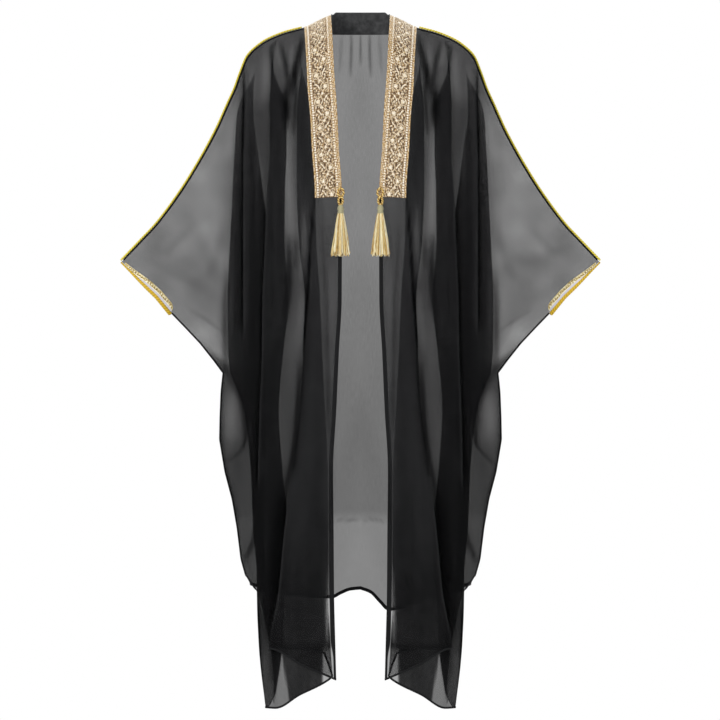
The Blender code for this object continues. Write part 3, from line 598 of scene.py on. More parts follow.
def tube_mesh(centres, across, other, closed):
    """Points and quads of a tube: ring after ring of offsets, across and other, about the centres of a path.

    Ends that aren't closed into a loop run to a point each.
    """
    rings = centres[:, None] + across + other
    count, sides = rings.shape[:2]
    i, j = np.meshgrid(np.arange(count if closed else count - 1), np.arange(sides), indexing="ij")
    i, j = i.ravel(), j.ravel()
    here, ahead = i * sides, (i + 1) % count * sides
    quads = np.stack([here + j, here + (j + 1) % sides, ahead + (j + 1) % sides, ahead + j], 1)
    points = rings.reshape(-1, 3)
    if closed:
        return points, quads
    first, last = len(points), len(points) + 1
    j = np.arange(sides)
    end = (count - 1) * sides
    caps = np.concatenate([
        np.stack([np.full(sides, first), (j + 1) % sides, j], 1),
        np.stack([np.full(sides, last), end + j, end + (j + 1) % sides], 1),
    ])
    return np.concatenate([points, centres[[0, -1]]]), (quads, caps)


def enclosed(points, faces):
    """Signed volume inside the faces, six times over, from the tetrahedra that they make with the origin."""
    total = 0.0
    for group in faces:
        for k in range(1, group.shape[1] - 1):
            a, b, c = points[group[:, 0]], points[group[:, k]], points[group[:, k + 1]]
            total += np.einsum("ij,ij->", a, np.cross(b, c))
    return total


def add_piece(name, points, faces, material, replaces=(), slot=None, uv=None, attributes=None):
    """One smooth mesh as a piece that rides with the cloak, faces outwards, with UV map and attributes."""
    groups = list(faces) if isinstance(faces, (tuple, list)) else [faces]
    if enclosed(points, groups) < 0:
        groups = [group[:, ::-1] for group in groups]
    mesh = bpy.data.meshes.new(name)
    mesh.from_pydata(points.tolist(), [], [face for group in groups for face in group.tolist()])
    if uv is not None:
        corner = np.empty(len(mesh.loops), np.int32)
        mesh.loops.foreach_get("vertex_index", corner)
        mesh.uv_layers.new(name="cloth").data.foreach_set("uv", uv[corner].astype(np.float32).ravel())
    for key, values in (attributes or {}).items():
        data = mesh.attributes.new(key, "FLOAT", "POINT").data
        data.foreach_set("value", values.astype(np.float32).ravel())
    mesh.shade_smooth()
    mesh.set_sharp_from_angle(angle=math.radians(60))
    mesh.materials.append(material)
    obj = bpy.data.objects.new(name, mesh)
    bpy.context.scene.collection.objects.link(obj)
    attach(obj, "root")
    if replaces:
        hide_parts(*replaces)
    return obj


def cloth_uv(points):
    """Distances along the cloth, in metres: down each column and across each row of the grid."""
    across = np.linalg.norm(np.diff(points, axis=1), axis=-1)
    down = np.linalg.norm(np.diff(points, axis=0), axis=-1)
    u = np.concatenate([np.zeros((points.shape[0], 1)), np.cumsum(across, axis=1)], axis=1)
    v = np.concatenate([np.zeros((1, points.shape[1])), np.cumsum(down, axis=0)], axis=0)
    return np.stack([u, -v], axis=-1)


def surface_area(points):
    """Area of a grid of points, half the length of the cross product of each cell's diagonals."""
    one = points[1:, 1:] - points[:-1, :-1]
    two = points[1:, :-1] - points[:-1, 1:]
    return 0.5 * np.linalg.norm(np.cross(one, two), axis=-1).sum()


def veil(depth):
    """How much each of a shell's two faces hides, where the whole layer has that optical depth."""
    return 1 - np.exp(-np.maximum(depth, 0.05) / 2)


def spread_share(points):
    """0 where the cloth hangs on the body, 1 where the sleeve is spread, and 0 again down the side."""
    x, z = points[..., 0], points[..., 2]
    side = ease((SPREAD_END - z - SPREAD_SLOPE * (SLEEVE_TO - x)) / SPREAD_OVER)
    return ease((x - SLEEVE_FROM) / (SLEEVE_TO - SLEEVE_FROM)) * (1 - side)


def front_depth(points, q):
    """Optical depth of one layer of the front panel: denser on the body than over the spread sleeve."""
    x, z = points[..., 0], points[..., 2]
    spread = spread_share(points)
    depth = DEPTH_BODY + (DEPTH_SLEEVE - DEPTH_BODY) * spread
    depth = depth + FRONT_LOW_GAIN * ease((FRONT_LOW_FROM - z) / FRONT_LOW_OVER)
    foot = (q >= 2) & (q <= 3) & (z < FOOT_TOP + 0.02) & (x < SIDE_FOOT_X + 0.006)
    wedge = ease(((WEDGE_TOP - z) * WEDGE_SPREAD - np.abs(x - WEDGE_X)) / WEDGE_EDGE + 0.5) * (z < WEDGE_TOP)
    corner = ease((CORNER_X + 0.003 - x) / 0.006) * ease((FOOT_TOP + 0.004 - z) / FOOT_OVER)
    beside = ease((x - SIDE_FOOT_X) / 0.010) * ease((BESIDE_TOP - z) / 0.05)
    depth = depth + foot * FOOT_DEPTH * (1 - wedge) * (1 - corner) * ease((FOOT_TOP + 0.01 - z) / FOOT_OVER)
    depth = depth * (1 - BESIDE_LOSS * beside) * (1 - CORNER_LOSS * corner)
    body_part = UNEVEN_FRONT * soft_noise(x, z * 0.35, 0.05, 4) * (1 - spread)
    return depth + body_part + UNEVEN_SLEEVE * soft_noise(x, z, 0.09, 7) * spread


def back_depth(points):
    """Optical depth of the back, which grows down its middle and falls in the last stretch above the hem."""
    x, z = points[..., 0], points[..., 2]
    spread = spread_share(points)
    middle = BACK_MIDDLE + BACK_GAIN * ease((BACK_GAIN_FROM - z) / BACK_GAIN_OVER)
    middle = middle - BACK_LOSS * ease((BACK_LOSS_FROM - z) / BACK_LOSS_OVER)
    depth = middle + (DEPTH_SLEEVE - middle) * spread
    body_part = UNEVEN_BACK * soft_noise(x, z * 0.3, 0.06, 11) * (1 - spread)
    return depth + body_part + UNEVEN_SLEEVE * soft_noise(x, z, 0.08, 5) * spread


def fold_lines(points, q):
    """Painted shading along the front panel's folds: a painted shadow or painted highlight at a fold's edge
    that fades exponentially away from it.
    """
    x, z = points[..., 0], points[..., 2]
    tint = np.zeros_like(x)
    for fold, outside, top, bottom, reach, strength in FOLD_LINES.rows:
        station = FRONT.columns.index(fold) - 1
        edge = from_table(FRONT, fold, z)
        gap = (x - edge) / (reach * MM) if outside else (edge - x) / (reach * MM)
        layer = (q > station + 0.001) if outside else (q <= station + 0.001) & (q > station - 1)
        ends = ease((top * MM - z) / 0.08) * ease((z - bottom * MM) / 0.06)
        # Painted shadow (below 0) or painted highlight (above 0) beside the fold's edge
        tint += strength * ends * layer * np.exp(-np.maximum(gap, 0)) * (gap > -0.6)
    return np.clip(tint, -1, 1)


def overlap_share(points, q, panel, table):
    """1 where a layer shows in full, and less where it lies under a fold that has hardly started yet."""
    x, z = points[..., 0], points[..., 2]
    share = np.ones_like(x)
    for name, fold, first, last, start, full, least in OVERLAPS.rows:
        if name == panel:
            under = (q > first) & (q < last) & (x < from_table(table, fold, z) - MM)
            grown = ease((start * MM - z) / ((start - full) * MM))
            share = np.where(under, least + (1 - least) * grown, share)
    return share


def front_painted_light(points, q):
    """Painted light on the front panel before its creases: paler on the foremost fold and higher up, with
    random streaks.
    """
    x, z = points[..., 0], points[..., 2]
    first = (q <= 1) * (0.56 - 0.50 * ease((-0.80 - z) / 0.40))
    upper = ((q > 1) * 0.16 + (q > 4) * 0.12) * (1 - ease((-0.55 - z) / 0.2))
    return first + upper + 0.07 * soft_noise(x, z * 0.12, 0.018, 51)


def twice(values):
    """A grid of values as one row for each point, for the shell's outer face and again for its inner face."""
    return np.concatenate([values.reshape(values.shape[0] * values.shape[1], -1)] * 2)


def make_front(word, side, chiffon):
    """Front panel: the grid P(q, t) with its creases raised along the normals, as a thin shell."""
    q, t = fine_stations(FRONT_COLUMNS), fine_rows()
    points = front_half(q, t)
    rise, more, tint = creases(points, q[None], ("front",))
    # Painted shadows and highlights along the creases and folds, then painted light on the foremost fold and
    # higher up
    tint = np.clip(tint + fold_lines(points, q[None]), -1, 1)
    tint = tint + front_painted_light(points, q[None]) * (1 - np.abs(tint))
    points = points + grid_normals(points) * rise[..., None]
    inner = points + SHELL * inward(points, np.full(len(q), True), t >= CUFF_END)
    depth = (front_depth(points, q[None]) + more) * overlap_share(points, q[None], "front", FRONT)
    shell = wall_mesh(placed(points, side, True), placed(inner, side, True))
    obj = add_piece(f"front_panel_{word}", *shell, chiffon, (f"front_{word}",), "sheer_cloth",
                    twice(cloth_uv(points)), {"veil": twice(veil(depth)), "tint": twice(tint)})
    return obj, surface_area(points)


def make_back(chiffon):
    """Back panel: both halves of the grid P(q, t) joined at the centre, as a thin shell."""
    q, t = fine_stations(BACK_COLUMNS), fine_rows()
    halves = []
    for word, side in (("right", -1), ("left", 1)):
        points = back_half(q, t, side)
        # The crease table also gives the back's painted shadow and highlight lines
        rise, more, tint = creases(points, q[None], ("back", f"back_{word}"))
        rise[:, 0] *= 0
        points = points + grid_normals(points) * rise[..., None]
        points[:, 0, 0] = 0
        shoulder = points[0, :, 0] >= NECK_HALF
        inner = points + SHELL * inward(points, shoulder, t >= CUFF_END)
        inner[:, 0, 0] = 0
        depth = (back_depth(points) + more) * overlap_share(points, q[None], "back", BACK)
        depth = np.maximum(depth, BACK_LEAST_DEPTH)
        uv, looks = cloth_uv(points) * [side, 1], np.stack([veil(depth), tint], axis=-1)
        halves.append((placed(points, side, False), placed(inner, side, False), uv, looks))
    outer, inner, uv, looks = [np.concatenate([r[:, :0:-1], l], axis=1) for r, l in zip(*halves)]
    obj = add_piece("back_panel", *wall_mesh(outer, inner), chiffon, ("back",), "sheer_cloth", twice(uv),
                    {"veil": twice(looks[..., 0]), "tint": twice(looks[..., 1])})
    return obj, surface_area(outer)


def path_sides(path, facing, closed):
    """Unit directions square to a path at each point: beside it, and the way it faces."""
    ahead = np.roll(path, -1, axis=0) - np.roll(path, 1, axis=0)
    if not closed:
        ahead[0], ahead[-1] = path[1] - path[0], path[-1] - path[-2]
    ahead = unit(ahead)
    facing = unit(facing - ahead * np.sum(facing * ahead, axis=-1, keepdims=True))
    return np.cross(ahead, facing), facing


def tube_uv(count, path, sides):
    """Distance along the path and round the tube for each point, with the two end points after them."""
    u = np.repeat(lengths_along(path), sides)
    v = np.tile(np.arange(sides) / sides, len(path))
    uv = np.stack([u, v], axis=-1)
    return np.concatenate([uv, np.repeat([[0.0, 0.5]], count - len(uv), axis=0)])


def add_tube(name, path, wide, thick, facing, material):
    """A hem or seam: a flattened tube along a path, an ellipse that is thinnest the way it faces."""
    beside, facing = path_sides(path, facing, False)
    angle = np.linspace(0, 2 * math.pi, TUBE_SIDES, endpoint=False)[None, :, None]
    wide, thick = (np.broadcast_to(size, (len(path),))[:, None, None] for size in (wide, thick))
    across, other = beside[:, None] * np.cos(angle) * wide / 2, facing[:, None] * np.sin(angle) * thick / 2
    points, faces = tube_mesh(path, across, other, False)
    add_piece(name, points, faces, material, slot="sheer_cloth", uv=tube_uv(len(points), path, TUBE_SIDES))


def hem_line(last_rows):
    """Points of a panel's last row, and the normals there."""
    return last_rows[-1], grid_normals(last_rows)[-1]


def edge_height(t):
    """Height of the front edge at t, even from the ridge to the hem."""
    return EDGE_TOP + (EDGE_HEM - EDGE_TOP) * t


def first_fold_width(z):
    """Width of the front panel's foremost fold at height z."""
    return from_table(FRONT, "pleat_out", z) - from_table(FRONT, "edge", z)


def make_front_hem(word, side, material):
    """Rolled hem round the front panel's foot, thinner where the folds in front hide it."""
    q = fine_stations(FRONT_COLUMNS)
    foot, normal = hem_line(front_half(q, HEM_ROWS))
    hidden = ease((q - HIDDEN_FROM) / HIDDEN_OVER) * (1 - ease((q - HIDDEN_TO) / HIDDEN_OVER))
    add_tube(f"rolled_hem_front_{word}", placed(foot, side, True), HEM_WIDTH * (1 - 0.7 * hidden),
             HEM_THICK * (1 - 0.6 * hidden), placed(normal, side, True), material)


def make_border(word, side, material):
    """Narrow border down the front edge, from the trim's foot to the hem, a little swollen in the middle."""
    grid = []
    for value in np.linspace(TRIM_FOOT, 1.0, BORDER_ROWS):
        border = BORDER_WIDTH * (0.9 + 0.4 * value) * (1 - 0.5 * ease((value - 0.94) / 0.03))
        across = np.linspace(0, border / first_fold_width(edge_height(value)), BORDER_POINTS)
        grid.append(front_half(across, np.array([value]))[0])
    grid = np.array(grid)
    normal = grid_normals(grid)
    swell = (np.sin(np.linspace(0, math.pi, BORDER_POINTS)) ** 0.5 * BORDER_WALL)[None, :, None]
    outer, inner = grid + normal * (swell + 0.0002), grid - normal * (SHELL + 0.0004 + swell * 0.5)
    shell = wall_mesh(placed(outer, side, True), placed(inner, side, True))
    add_piece(f"front_border_{word}", *shell, material, slot="sheer_cloth")


def make_back_hem(material):
    """Rolled hem of the back, from one side seam to the other."""
    q = fine_stations(BACK_COLUMNS)
    halves = []
    for side in (-1, 1):
        foot, normal = hem_line(back_half(q, HEM_ROWS, side))
        halves.append((placed(foot, side, False), placed(normal, side, False)))
    path, facing = (np.concatenate([right[:0:-1], left]) for right, left in zip(*halves))
    path = path - [0, 0, BACK_HEM_WIDTH / 4]
    add_tube("rolled_hem_back", path, BACK_HEM_WIDTH, HEM_THICK, facing, material)


def make_seams(word, side, material):
    """Underarm and side seam, from the cuff's foot to the hem, and the seam under the shoulder cord."""
    t = np.concatenate([np.linspace(CUFF_END, UNDERARM, 60), np.linspace(UNDERARM + 0.01, 1.0, 60)])
    x, z = outline(t)
    path = np.stack([side * x, np.zeros_like(x), z], axis=-1)
    add_tube(f"side_seam_{word}", path, SEAM_WIDTH, SEAM_THICK, TO_FRONT, material)
    x = np.linspace(RIDGE.rows[1][0] * MM, RIDGE.rows[-1][0] * MM - 0.004, 120)
    path = np.stack([side * x, np.zeros_like(x), ridge_height(x) - SEAM_SINK], axis=-1)
    add_tube(f"shoulder_seam_{word}", path, SEAM_WIDTH, SEAM_THICK, TO_FRONT, material)


# Gold trim: how its width is shared out, from the front edge to the outer edge, in millimetres
TRIM_BANDS = Table(("kind", "middle", "half_width", "height", "pitch", "tone"), (
    ("rope", 1.3, 1.4, 1.2, 4.4, 0.35),
    ("rope", 3.9, 1.5, 1.1, 5.0, 0.40),
    ("rope", 6.1, 0.9, 1.1, 3.0, 0.50),
    ("beads", 8.9, 2.1, 1.5, 5.2, 0.70),
    ("rope", 11.6, 0.7, 0.9, 2.6, 0.25),
    ("rope", 45.6, 0.7, 0.9, 2.6, 0.25),
    ("beads", 48.4, 2.1, 1.6, 5.2, 0.90),
    ("rope", 51.2, 0.8, 0.9, 3.0, 0.30),
    ("rope", 53.4, 1.6, 1.4, 5.6, 0.35),
))

# Middle field of the trim, and the vine that winds down it once in each repeat, in millimetres
FIELD_FROM, FIELD_TO = 12.2, 45.0
FIELD_MIDDLE = 28.6
REPEAT = 55.0
VINE_SWING = 7.4
VINE_WIDTH = 1.3
SCROLL_RADIUS = 8.2
SCROLL_WIDTH = 1.15
SEED_PITCH = 3.4
STITCH_PITCH = 1.5

# Leaves and petals in one repeat of the middle field: place, turn, half length and half width, in millimetres
LEAVES = Table(("across", "along", "turn", "long", "wide", "height", "tone"), (
    (-8.8, 7.0, 40, 4.6, 1.7, 1.45, 0.85),
    (-12.4, 13.0, 118, 4.2, 1.7, 1.30, 0.60),
    (-9.2, 18.5, 160, 4.0, 1.6, 1.30, 0.75),
    (-4.6, 13.0, 20, 4.2, 1.6, 1.40, 1.00),
    (-3.6, 20.6, -30, 3.6, 1.4, 1.20, 0.45),
    (8.8, 34.5, -40, 4.6, 1.7, 1.45, 0.90),
    (12.4, 40.5, -118, 4.2, 1.7, 1.30, 0.60),
    (9.2, 46.0, -160, 4.0, 1.6, 1.30, 0.75),
    (4.6, 40.5, -20, 4.2, 1.6, 1.40, 1.00),
    (3.6, 48.1, 30, 3.6, 1.4, 1.20, 0.50),
    (13.6, 3.0, 12, 4.2, 1.6, 1.1, 0.65),
    (13.8, 24.5, 168, 4.2, 1.6, 1.1, 0.55),
    (-13.6, 30.5, -12, 4.2, 1.6, 1.1, 0.65),
    (-13.8, 52.0, 192, 4.2, 1.6, 1.1, 0.55),
    (-6.4, 25.5, 75, 4.0, 1.6, 1.2, 0.85),
    (6.4, 53.0, -75, 4.0, 1.6, 1.2, 0.85),
))
ROSETTES = Table(("across", "along", "petals", "reach", "tone"), (
    (8.4, 14.0, 6, 5.4, 1.00), (-8.4, 41.5, 6, 5.4, 1.00), (-2.0, 0.0, 5, 4.0, 0.80),
    (2.0, 27.5, 5, 4.0, 0.80),
))
TRIM_BASE = 0.0009
TRIM_CELLS = (110, 600)
TRIM_COARSE = 13
UNDER_COLUMNS = 7
UNDER_LIFT = 0.0002


def rope(gap, along, half_width, pitch):
    """Height, 0 to 1, of a twisted rope: half round across, with slanting waves along it."""
    round_top = np.sqrt(np.clip(1 - (gap / half_width) ** 2, 0, 1))
    return round_top * (0.58 + 0.42 * np.cos(2 * math.pi * (along + 1.1 * gap) / pitch))


def beads(gap, along, half_width, pitch):
    """Height of a row of round knots, each half a ball, with bare ground between them."""
    step = (along / pitch + 0.5) % 1 - 0.5
    return np.sqrt(np.clip(1 - (gap / half_width) ** 2 - (step / 0.42) ** 2, 0, 1))


def leaf(across, along, turn, long, wide):
    """Height of a pointed leaf: a lens in outline, raised to a rounded ridge, with slanting stitches."""
    turn = math.radians(turn)
    p = across * math.sin(turn) + along * math.cos(turn)
    r = across * math.cos(turn) - along * math.sin(turn)
    edge = wide * np.clip(1 - (p / long) ** 2, 0, 1)
    body = np.sqrt(np.clip(1 - (np.abs(r) / np.maximum(edge, 1e-6)) ** 2, 0, 1)) * (edge > 0.05)
    vein = 1 - 0.45 * np.exp(-((r / 0.35) ** 2))
    return body * vein * (0.82 + 0.18 * np.cos(2 * math.pi * (p - 0.9 * np.abs(r)) / STITCH_PITCH))


def rosette(across, along, petals, reach):
    """Height of a flower: round petals about a bead, from the polar angle and distance."""
    distance, angle = np.hypot(across, along), np.arctan2(across, along)
    outline_at = reach * (0.62 + 0.38 * np.abs(np.cos(petals * angle / 2)))
    body = np.sqrt(np.clip(1 - (distance / outline_at) ** 2, 0, 1)) * (distance > 0.27 * reach)
    stitches = 0.8 + 0.2 * np.cos(petals * 4 * angle)
    bead = np.sqrt(np.clip(1 - (distance / (0.25 * reach)) ** 2, 0, 1)) * 1.15
    return np.maximum(body * stitches * 0.85, bead)


def from_repeat(v, place):
    """Distance along the trim from the nearest repeat of a place in it."""
    return (v - place + REPEAT / 2) % REPEAT - REPEAT / 2


def trim_relief(u, v):
    """(height 0 to about 1.7 mm, tone) of the trim at u across and v along it, both in millimetres.

    The highest of all the motifs shows, and the tone is that motif's own, with a seeded change from stitch to
    stitch and seeded painted glints that lift it towards the near white highlight colour. The vine is a
    cosine wave down the field, and the leaves and flowers repeat with it.
    """
    grain = soft_noise(u * MM, v * MM, 0.0045, 21)
    lean = 0.9 * soft_noise(u * MM, v * MM, 0.014, 27)
    seeds = np.cos(2 * math.pi * (v + u * lean / 2) / SEED_PITCH)
    seeds = seeds * np.cos(2 * math.pi * (u - v / 4) / (SEED_PITCH * 0.8))
    height, tone = 0.06 + 1.1 * np.clip(seeds + 0.5 * grain, 0, 1), 0.50 + 0.6 * grain

    def lay(value, tall, shade):
        value = value * tall
        over = value > height
        height[over] = value[over]
        tone[over] = shade

    for kind, middle, half_width, tall, pitch, shade in TRIM_BANDS.rows:
        shape = rope if kind == "rope" else beads
        lay(shape(u - middle, v, half_width, pitch), tall, shade)
    field = (u > FIELD_FROM) & (u < FIELD_TO)
    across = u - FIELD_MIDDLE
    phase = 2 * math.pi * v / REPEAT
    slope = VINE_SWING * 2 * math.pi / REPEAT * np.cos(phase)
    gap = (across - VINE_SWING * np.sin(phase)) / np.sqrt(1 + slope**2)
    lay(rope(gap, v, VINE_WIDTH, 2.6) * field, 1.35, 0.65)
    for x, z, *_ in ROSETTES.rows[:2]:
        step = from_repeat(v, z)
        away, turn = np.hypot(across - x, step), np.arctan2(across - x, step)
        ring = away - SCROLL_RADIUS * (1 - 0.06 * turn * np.sign(x))
        lay(rope(ring, 4 * turn, SCROLL_WIDTH, 1.6) * field, 1.3, 0.7)
    for x, z, turn, long, wide, tall, shade in LEAVES.rows:
        lay(leaf(across - x, from_repeat(v, z), turn, long, wide) * field, tall, shade)
    for x, z, petals, reach, shade in ROSETTES.rows:
        lay(rosette(across - x, from_repeat(v, z), petals, reach) * field, 1.5, shade)
    # Painted glints: seeded noise that raises the tone towards the material's painted highlight colour, and
    # also varies the height
    glint = soft_noise(u * MM, v * MM, 0.0032, 33)
    return height * np.clip(0.94 + 0.28 * glint, 0.4, 1.2), np.clip(tone - 0.06 + 0.7 * glint, 0, 1)


def relief_slab(points, raised, lift):
    """Points and faces of a slab on a grid: its top is lift and relief off the grid, its underside is plain.

    The underside has few columns and the two end rims are one face each, so that only the top is fine.
    """
    normals = grid_normals(points)
    top = points + normals * (lift + raised)[..., None]
    rows, columns = top.shape[:2]
    picked = np.linspace(0, columns - 1, UNDER_COLUMNS).astype(int)
    under = (points + normals * UNDER_LIFT)[:, picked]
    below = rows * columns
    width = len(picked)
    j = np.arange(rows - 1)
    faces = [grid_quads(rows, columns), grid_quads(rows, width, below)[:, ::-1]]
    near, far = j * columns, j * columns + columns - 1
    low_near, low_far = below + j * width, below + j * width + width - 1
    faces.append(np.stack([near + columns, low_near + width, low_near, near], 1)[:, ::-1])
    faces.append(np.stack([far, low_far, low_far + width, far + columns], 1)[:, ::-1])
    for row, flip in ((0, False), (rows - 1, True)):
        rim = [row * columns + np.arange(columns)[::-1], below + row * width + np.arange(width)]
        ring = np.concatenate(rim)
        faces.append((ring[::-1] if flip else ring)[None])
    return np.concatenate([top.reshape(-1, 3), under.reshape(-1, 3)]), faces, picked


def with_under(values, picked):
    """A grid of values for a slab's top, followed by those of its underside."""
    flat = values.reshape(values.shape[0] * values.shape[1], -1)
    under = values[:, picked].reshape(values.shape[0] * len(picked), -1)
    return np.concatenate([flat, under])


def finer(row, share):
    """A coarse row of numbers read at the given shares of its width."""
    return np.interp(share, np.linspace(0, 1, len(row)), row)


def make_trim(word, side, material):
    """Gold trim: the front panel's own first stretch, from the ridge to the trim's foot, embroidered."""
    columns, rows = TRIM_CELLS
    stops = np.concatenate([0.06 * (np.arange(12) / 12) ** 2, np.linspace(0.06, TRIM_FOOT, 29)])
    t = finer(stops, np.linspace(0, 1, rows))
    share = np.linspace(0, 1, columns)
    grid = np.array([
        front_half(np.linspace(0, TRIM_WIDTH / size, TRIM_COARSE), np.array([value]))[0]
        for value, size in zip(t, first_fold_width(edge_height(t)))
    ])
    points = np.stack([np.apply_along_axis(finer, 1, grid[..., k], share) for k in range(3)], axis=-1)
    down = lengths_along(points[:, columns // 2])
    u, v = np.meshgrid(share * TRIM_WIDTH / MM, down / MM)
    height, tone = trim_relief(u, v)
    height = height * np.clip((down[-1] / MM - v) / 1.5, 0.15, 1)
    slab, faces, picked = relief_slab(points, height * MM, TRIM_BASE)
    uv = with_under(np.stack([u, -v], axis=-1) * MM, picked)
    data = {"relief": with_under(height / 1.6, picked), "tone": with_under(tone, picked)}
    add_piece(f"gold_trim_{word}", placed(slab, side, True), faces, material, (f"trim_{word}",),
              "gold_embroidery", uv, data)


# Neck band: how far from the centre its lower edge stays level and its top is full, how far it reaches past
# the solid, and how high its puckers and welts stand
BAND_SQUARE = 0.0565
BAND_FULL_TOP = 0.050
BAND_SINK = 0.0035
BAND_CELLS = (181, 22)
BAND_PUCKER = 0.0005
BAND_WELT = 0.0006


def make_neck_band(material):
    """Stiff band on the back neckline: upright from the neckline to its top, a little puckered."""
    share = np.linspace(-1, 1, BAND_CELLS[0])
    angle = BAND_END_ANGLE * math.pi / 2 * np.sign(share) * (1 - (1 - np.abs(share)) ** 1.5)
    x = NECK_HALF * np.sign(angle) * np.abs(np.sin(angle)) ** (2 / NECK_SQUARE)
    near_end = ease((np.abs(x) - BAND_FULL_TOP) / 0.0085)
    square = 1 - ease((np.abs(x) - BAND_SQUARE) / 0.0035)
    bottom = neck_z(x) + (neck_z(np.zeros(1)) - neck_z(x)) * square - BAND_SINK
    top = np.maximum(BAND_TOP + BAND_SINK - (BAND_TOP - BAND_END_TOP) * near_end, neck_z(x) + BAND_WALL)
    level = np.linspace(0, 1, BAND_CELLS[1])[:, None]
    z = bottom + (top - bottom) * level
    plan = np.stack([x, neck_y(x), np.zeros_like(x)], axis=-1)
    along = unit(np.gradient(plan, axis=0))
    into = np.stack([along[:, 1], -along[:, 0], np.zeros_like(x)], axis=-1)
    outer = np.broadcast_to(plan, (len(level),) + plan.shape).copy()
    outer[..., 2] = z
    grid_x = np.broadcast_to(x, z.shape)
    inside = np.sin(math.pi * np.clip(level, 0, 1)) ** 0.4
    pucker = BAND_PUCKER * soft_noise(grid_x, z * 1.4, 0.016, 8) * inside
    welt = BAND_WELT * (np.exp(-((level - 0.93) / 0.05) ** 2) + np.exp(-((level - 0.07) / 0.05) ** 2))
    thick = BAND_WALL + pucker + welt
    uv = np.stack([grid_x, z], axis=-1).reshape(-1, 2)
    add_piece("neck_band_cloth", *wall_mesh(outer, outer + thick[..., None] * into), material, ("neck_band",),
              "black_band", np.concatenate([uv, uv]))


def add_cord(name, path, radius, facing, pitch, material, closed=False, flat=1.0, **extra):
    """A cord of two strands: about each point of the path the radius swells twice round, turning as it goes.

    Across the facing direction it is flattened to the given share of its radius.
    """
    beside, facing = path_sides(path, facing, closed)
    along = lengths_along(path)
    if closed:
        total = along[-1] + np.linalg.norm(path[0] - path[-1])
        pitch = total / round(total / pitch)
    angle = np.linspace(0, 2 * math.pi, CORD_SIDES, endpoint=False)
    swell = np.cos(2 * (angle[None] - math.pi * along[:, None] / pitch))
    size = np.broadcast_to(radius, (len(path),))[:, None] * (0.90 + 0.10 * swell)
    size = size[..., None]
    points, faces = tube_mesh(path, beside[:, None] * np.cos(angle)[None, :, None] * size * flat,
                              facing[:, None] * np.sin(angle)[None, :, None] * size, closed)
    relief = (0.5 + 0.5 * swell).reshape(-1)
    relief = np.concatenate([relief, np.full(len(points) - len(relief), 0.5)])
    uv = tube_uv(len(points), path, CORD_SIDES)
    add_piece(name, points, faces, material, uv=uv, attributes={"relief": relief}, **extra)


# Length of one twist of the cords, and how stout and flat the cuff cord is, in metres
CORD_PITCH = 0.006
CUFF_CORD_TIP = 0.0018
CUFF_CORD_GROWTH = 0.0025
CUFF_CORD_FLAT = 0.65


def make_shoulder_cord(word, side, material):
    """Cord on the seam along the ridge, from the trim's outer corner to the cuff's tip."""
    x = np.linspace(RIDGE.rows[2][0] * MM + 0.004, RIDGE.rows[-1][0] * MM + 0.001, 700)
    path = np.stack([x, np.zeros_like(x), ridge_height(x)], axis=-1)
    slope = unit(np.gradient(path, axis=0))
    out = np.stack([-slope[:, 2], np.zeros_like(x), slope[:, 0]], axis=-1)
    path = (path + out * (CORD_RADIUS + CORD_LIFT * 0.6)) * [side, 1, 1]
    add_cord(f"shoulder_cord_{word}_thread", path, CORD_RADIUS, TO_FRONT, CORD_PITCH, material,
             replaces=(f"shoulder_cord_{word}",), slot="gold_cord")


def make_cuff_cord(word, side, material):
    """Cord round the cuff's opening, which grows stouter towards the underarm."""
    t = np.linspace(0.001, CUFF_END - 0.003, 180)
    x, z = outline(t)
    y = SEAM_GAP / 2 + CUFF_HALF_OPEN * np.sin(math.pi * t / CUFF_END) ** 0.7
    loop = np.concatenate([np.stack([x, -y, z], axis=-1), np.stack([x, y, z], axis=-1)[::-1]])
    edge = unit(np.array([x[-1] - x[0], 0, z[-1] - z[0]]))
    out = np.array([-edge[2], 0, edge[0]])
    radius = CUFF_CORD_RADIUS * (0.70 + 0.65 * np.concatenate([t, t[::-1]]) / CUFF_END)
    loop = (loop + np.abs(out) * [1, 0, -1] * (radius[:, None] + SEAM_GAP)) * [side, 1, 1]
    across = np.abs(out) * [1, 0, -1] * [side, 1, 1]
    width = CUFF_CORD_TIP + CUFF_CORD_GROWTH * ease(np.concatenate([t, t[::-1]]) / (0.55 * CUFF_END))
    add_cord(f"cuff_cord_{word}_thread", loop, width, across[None], CORD_PITCH, material, closed=True,
             flat=CUFF_CORD_FLAT, replaces=(f"cuff_cord_{word}",), slot="gold_cord")


# Cuff band: the share of its width that is plain silver at the foot, the length of one motif in millimetres,
# its rows and columns, and how far its edge lies in from the cuff's and its cloth off the sleeve
SILVER_SHARE = 0.38
MOTIF_PITCH = 5.6
BAND_GRID = (170, 26)
BAND_INSET = 0.0006
BAND_LIFT = 0.0006


def cuff_band_relief(share, along, silver):
    """(height in millimetres, tone) of the band: a ribbed silver strip at the edge, then gold motifs."""
    height = 0.35 + 0.12 * np.cos(2 * math.pi * along / 1.6)
    tone = np.full_like(share, 1.6)
    inner = share > silver
    middle = (share - silver) / (1 - silver)
    step = (along / MOTIF_PITCH + 0.5) % 1 - 0.5
    lozenge = np.clip(1 - np.abs(middle - 0.5) / 0.42 - np.abs(step) / 0.36, 0, 1) ** 0.4
    edges = np.exp(-(((middle - 0.08) / 0.13) ** 2)) + np.exp(-(((middle - 0.92) / 0.13) ** 2))
    gold = np.maximum(lozenge, edges * (0.7 + 0.3 * np.cos(2 * math.pi * along / 2.4)))
    gold = np.clip(gold + 0.45 * soft_noise(share * 0.012, along * MM, 0.005, 61), 0, 1)
    height = np.where(inner, 0.2 + 0.75 * gold, height)
    return height, np.where(inner, 0.35 + 0.6 * gold, tone)


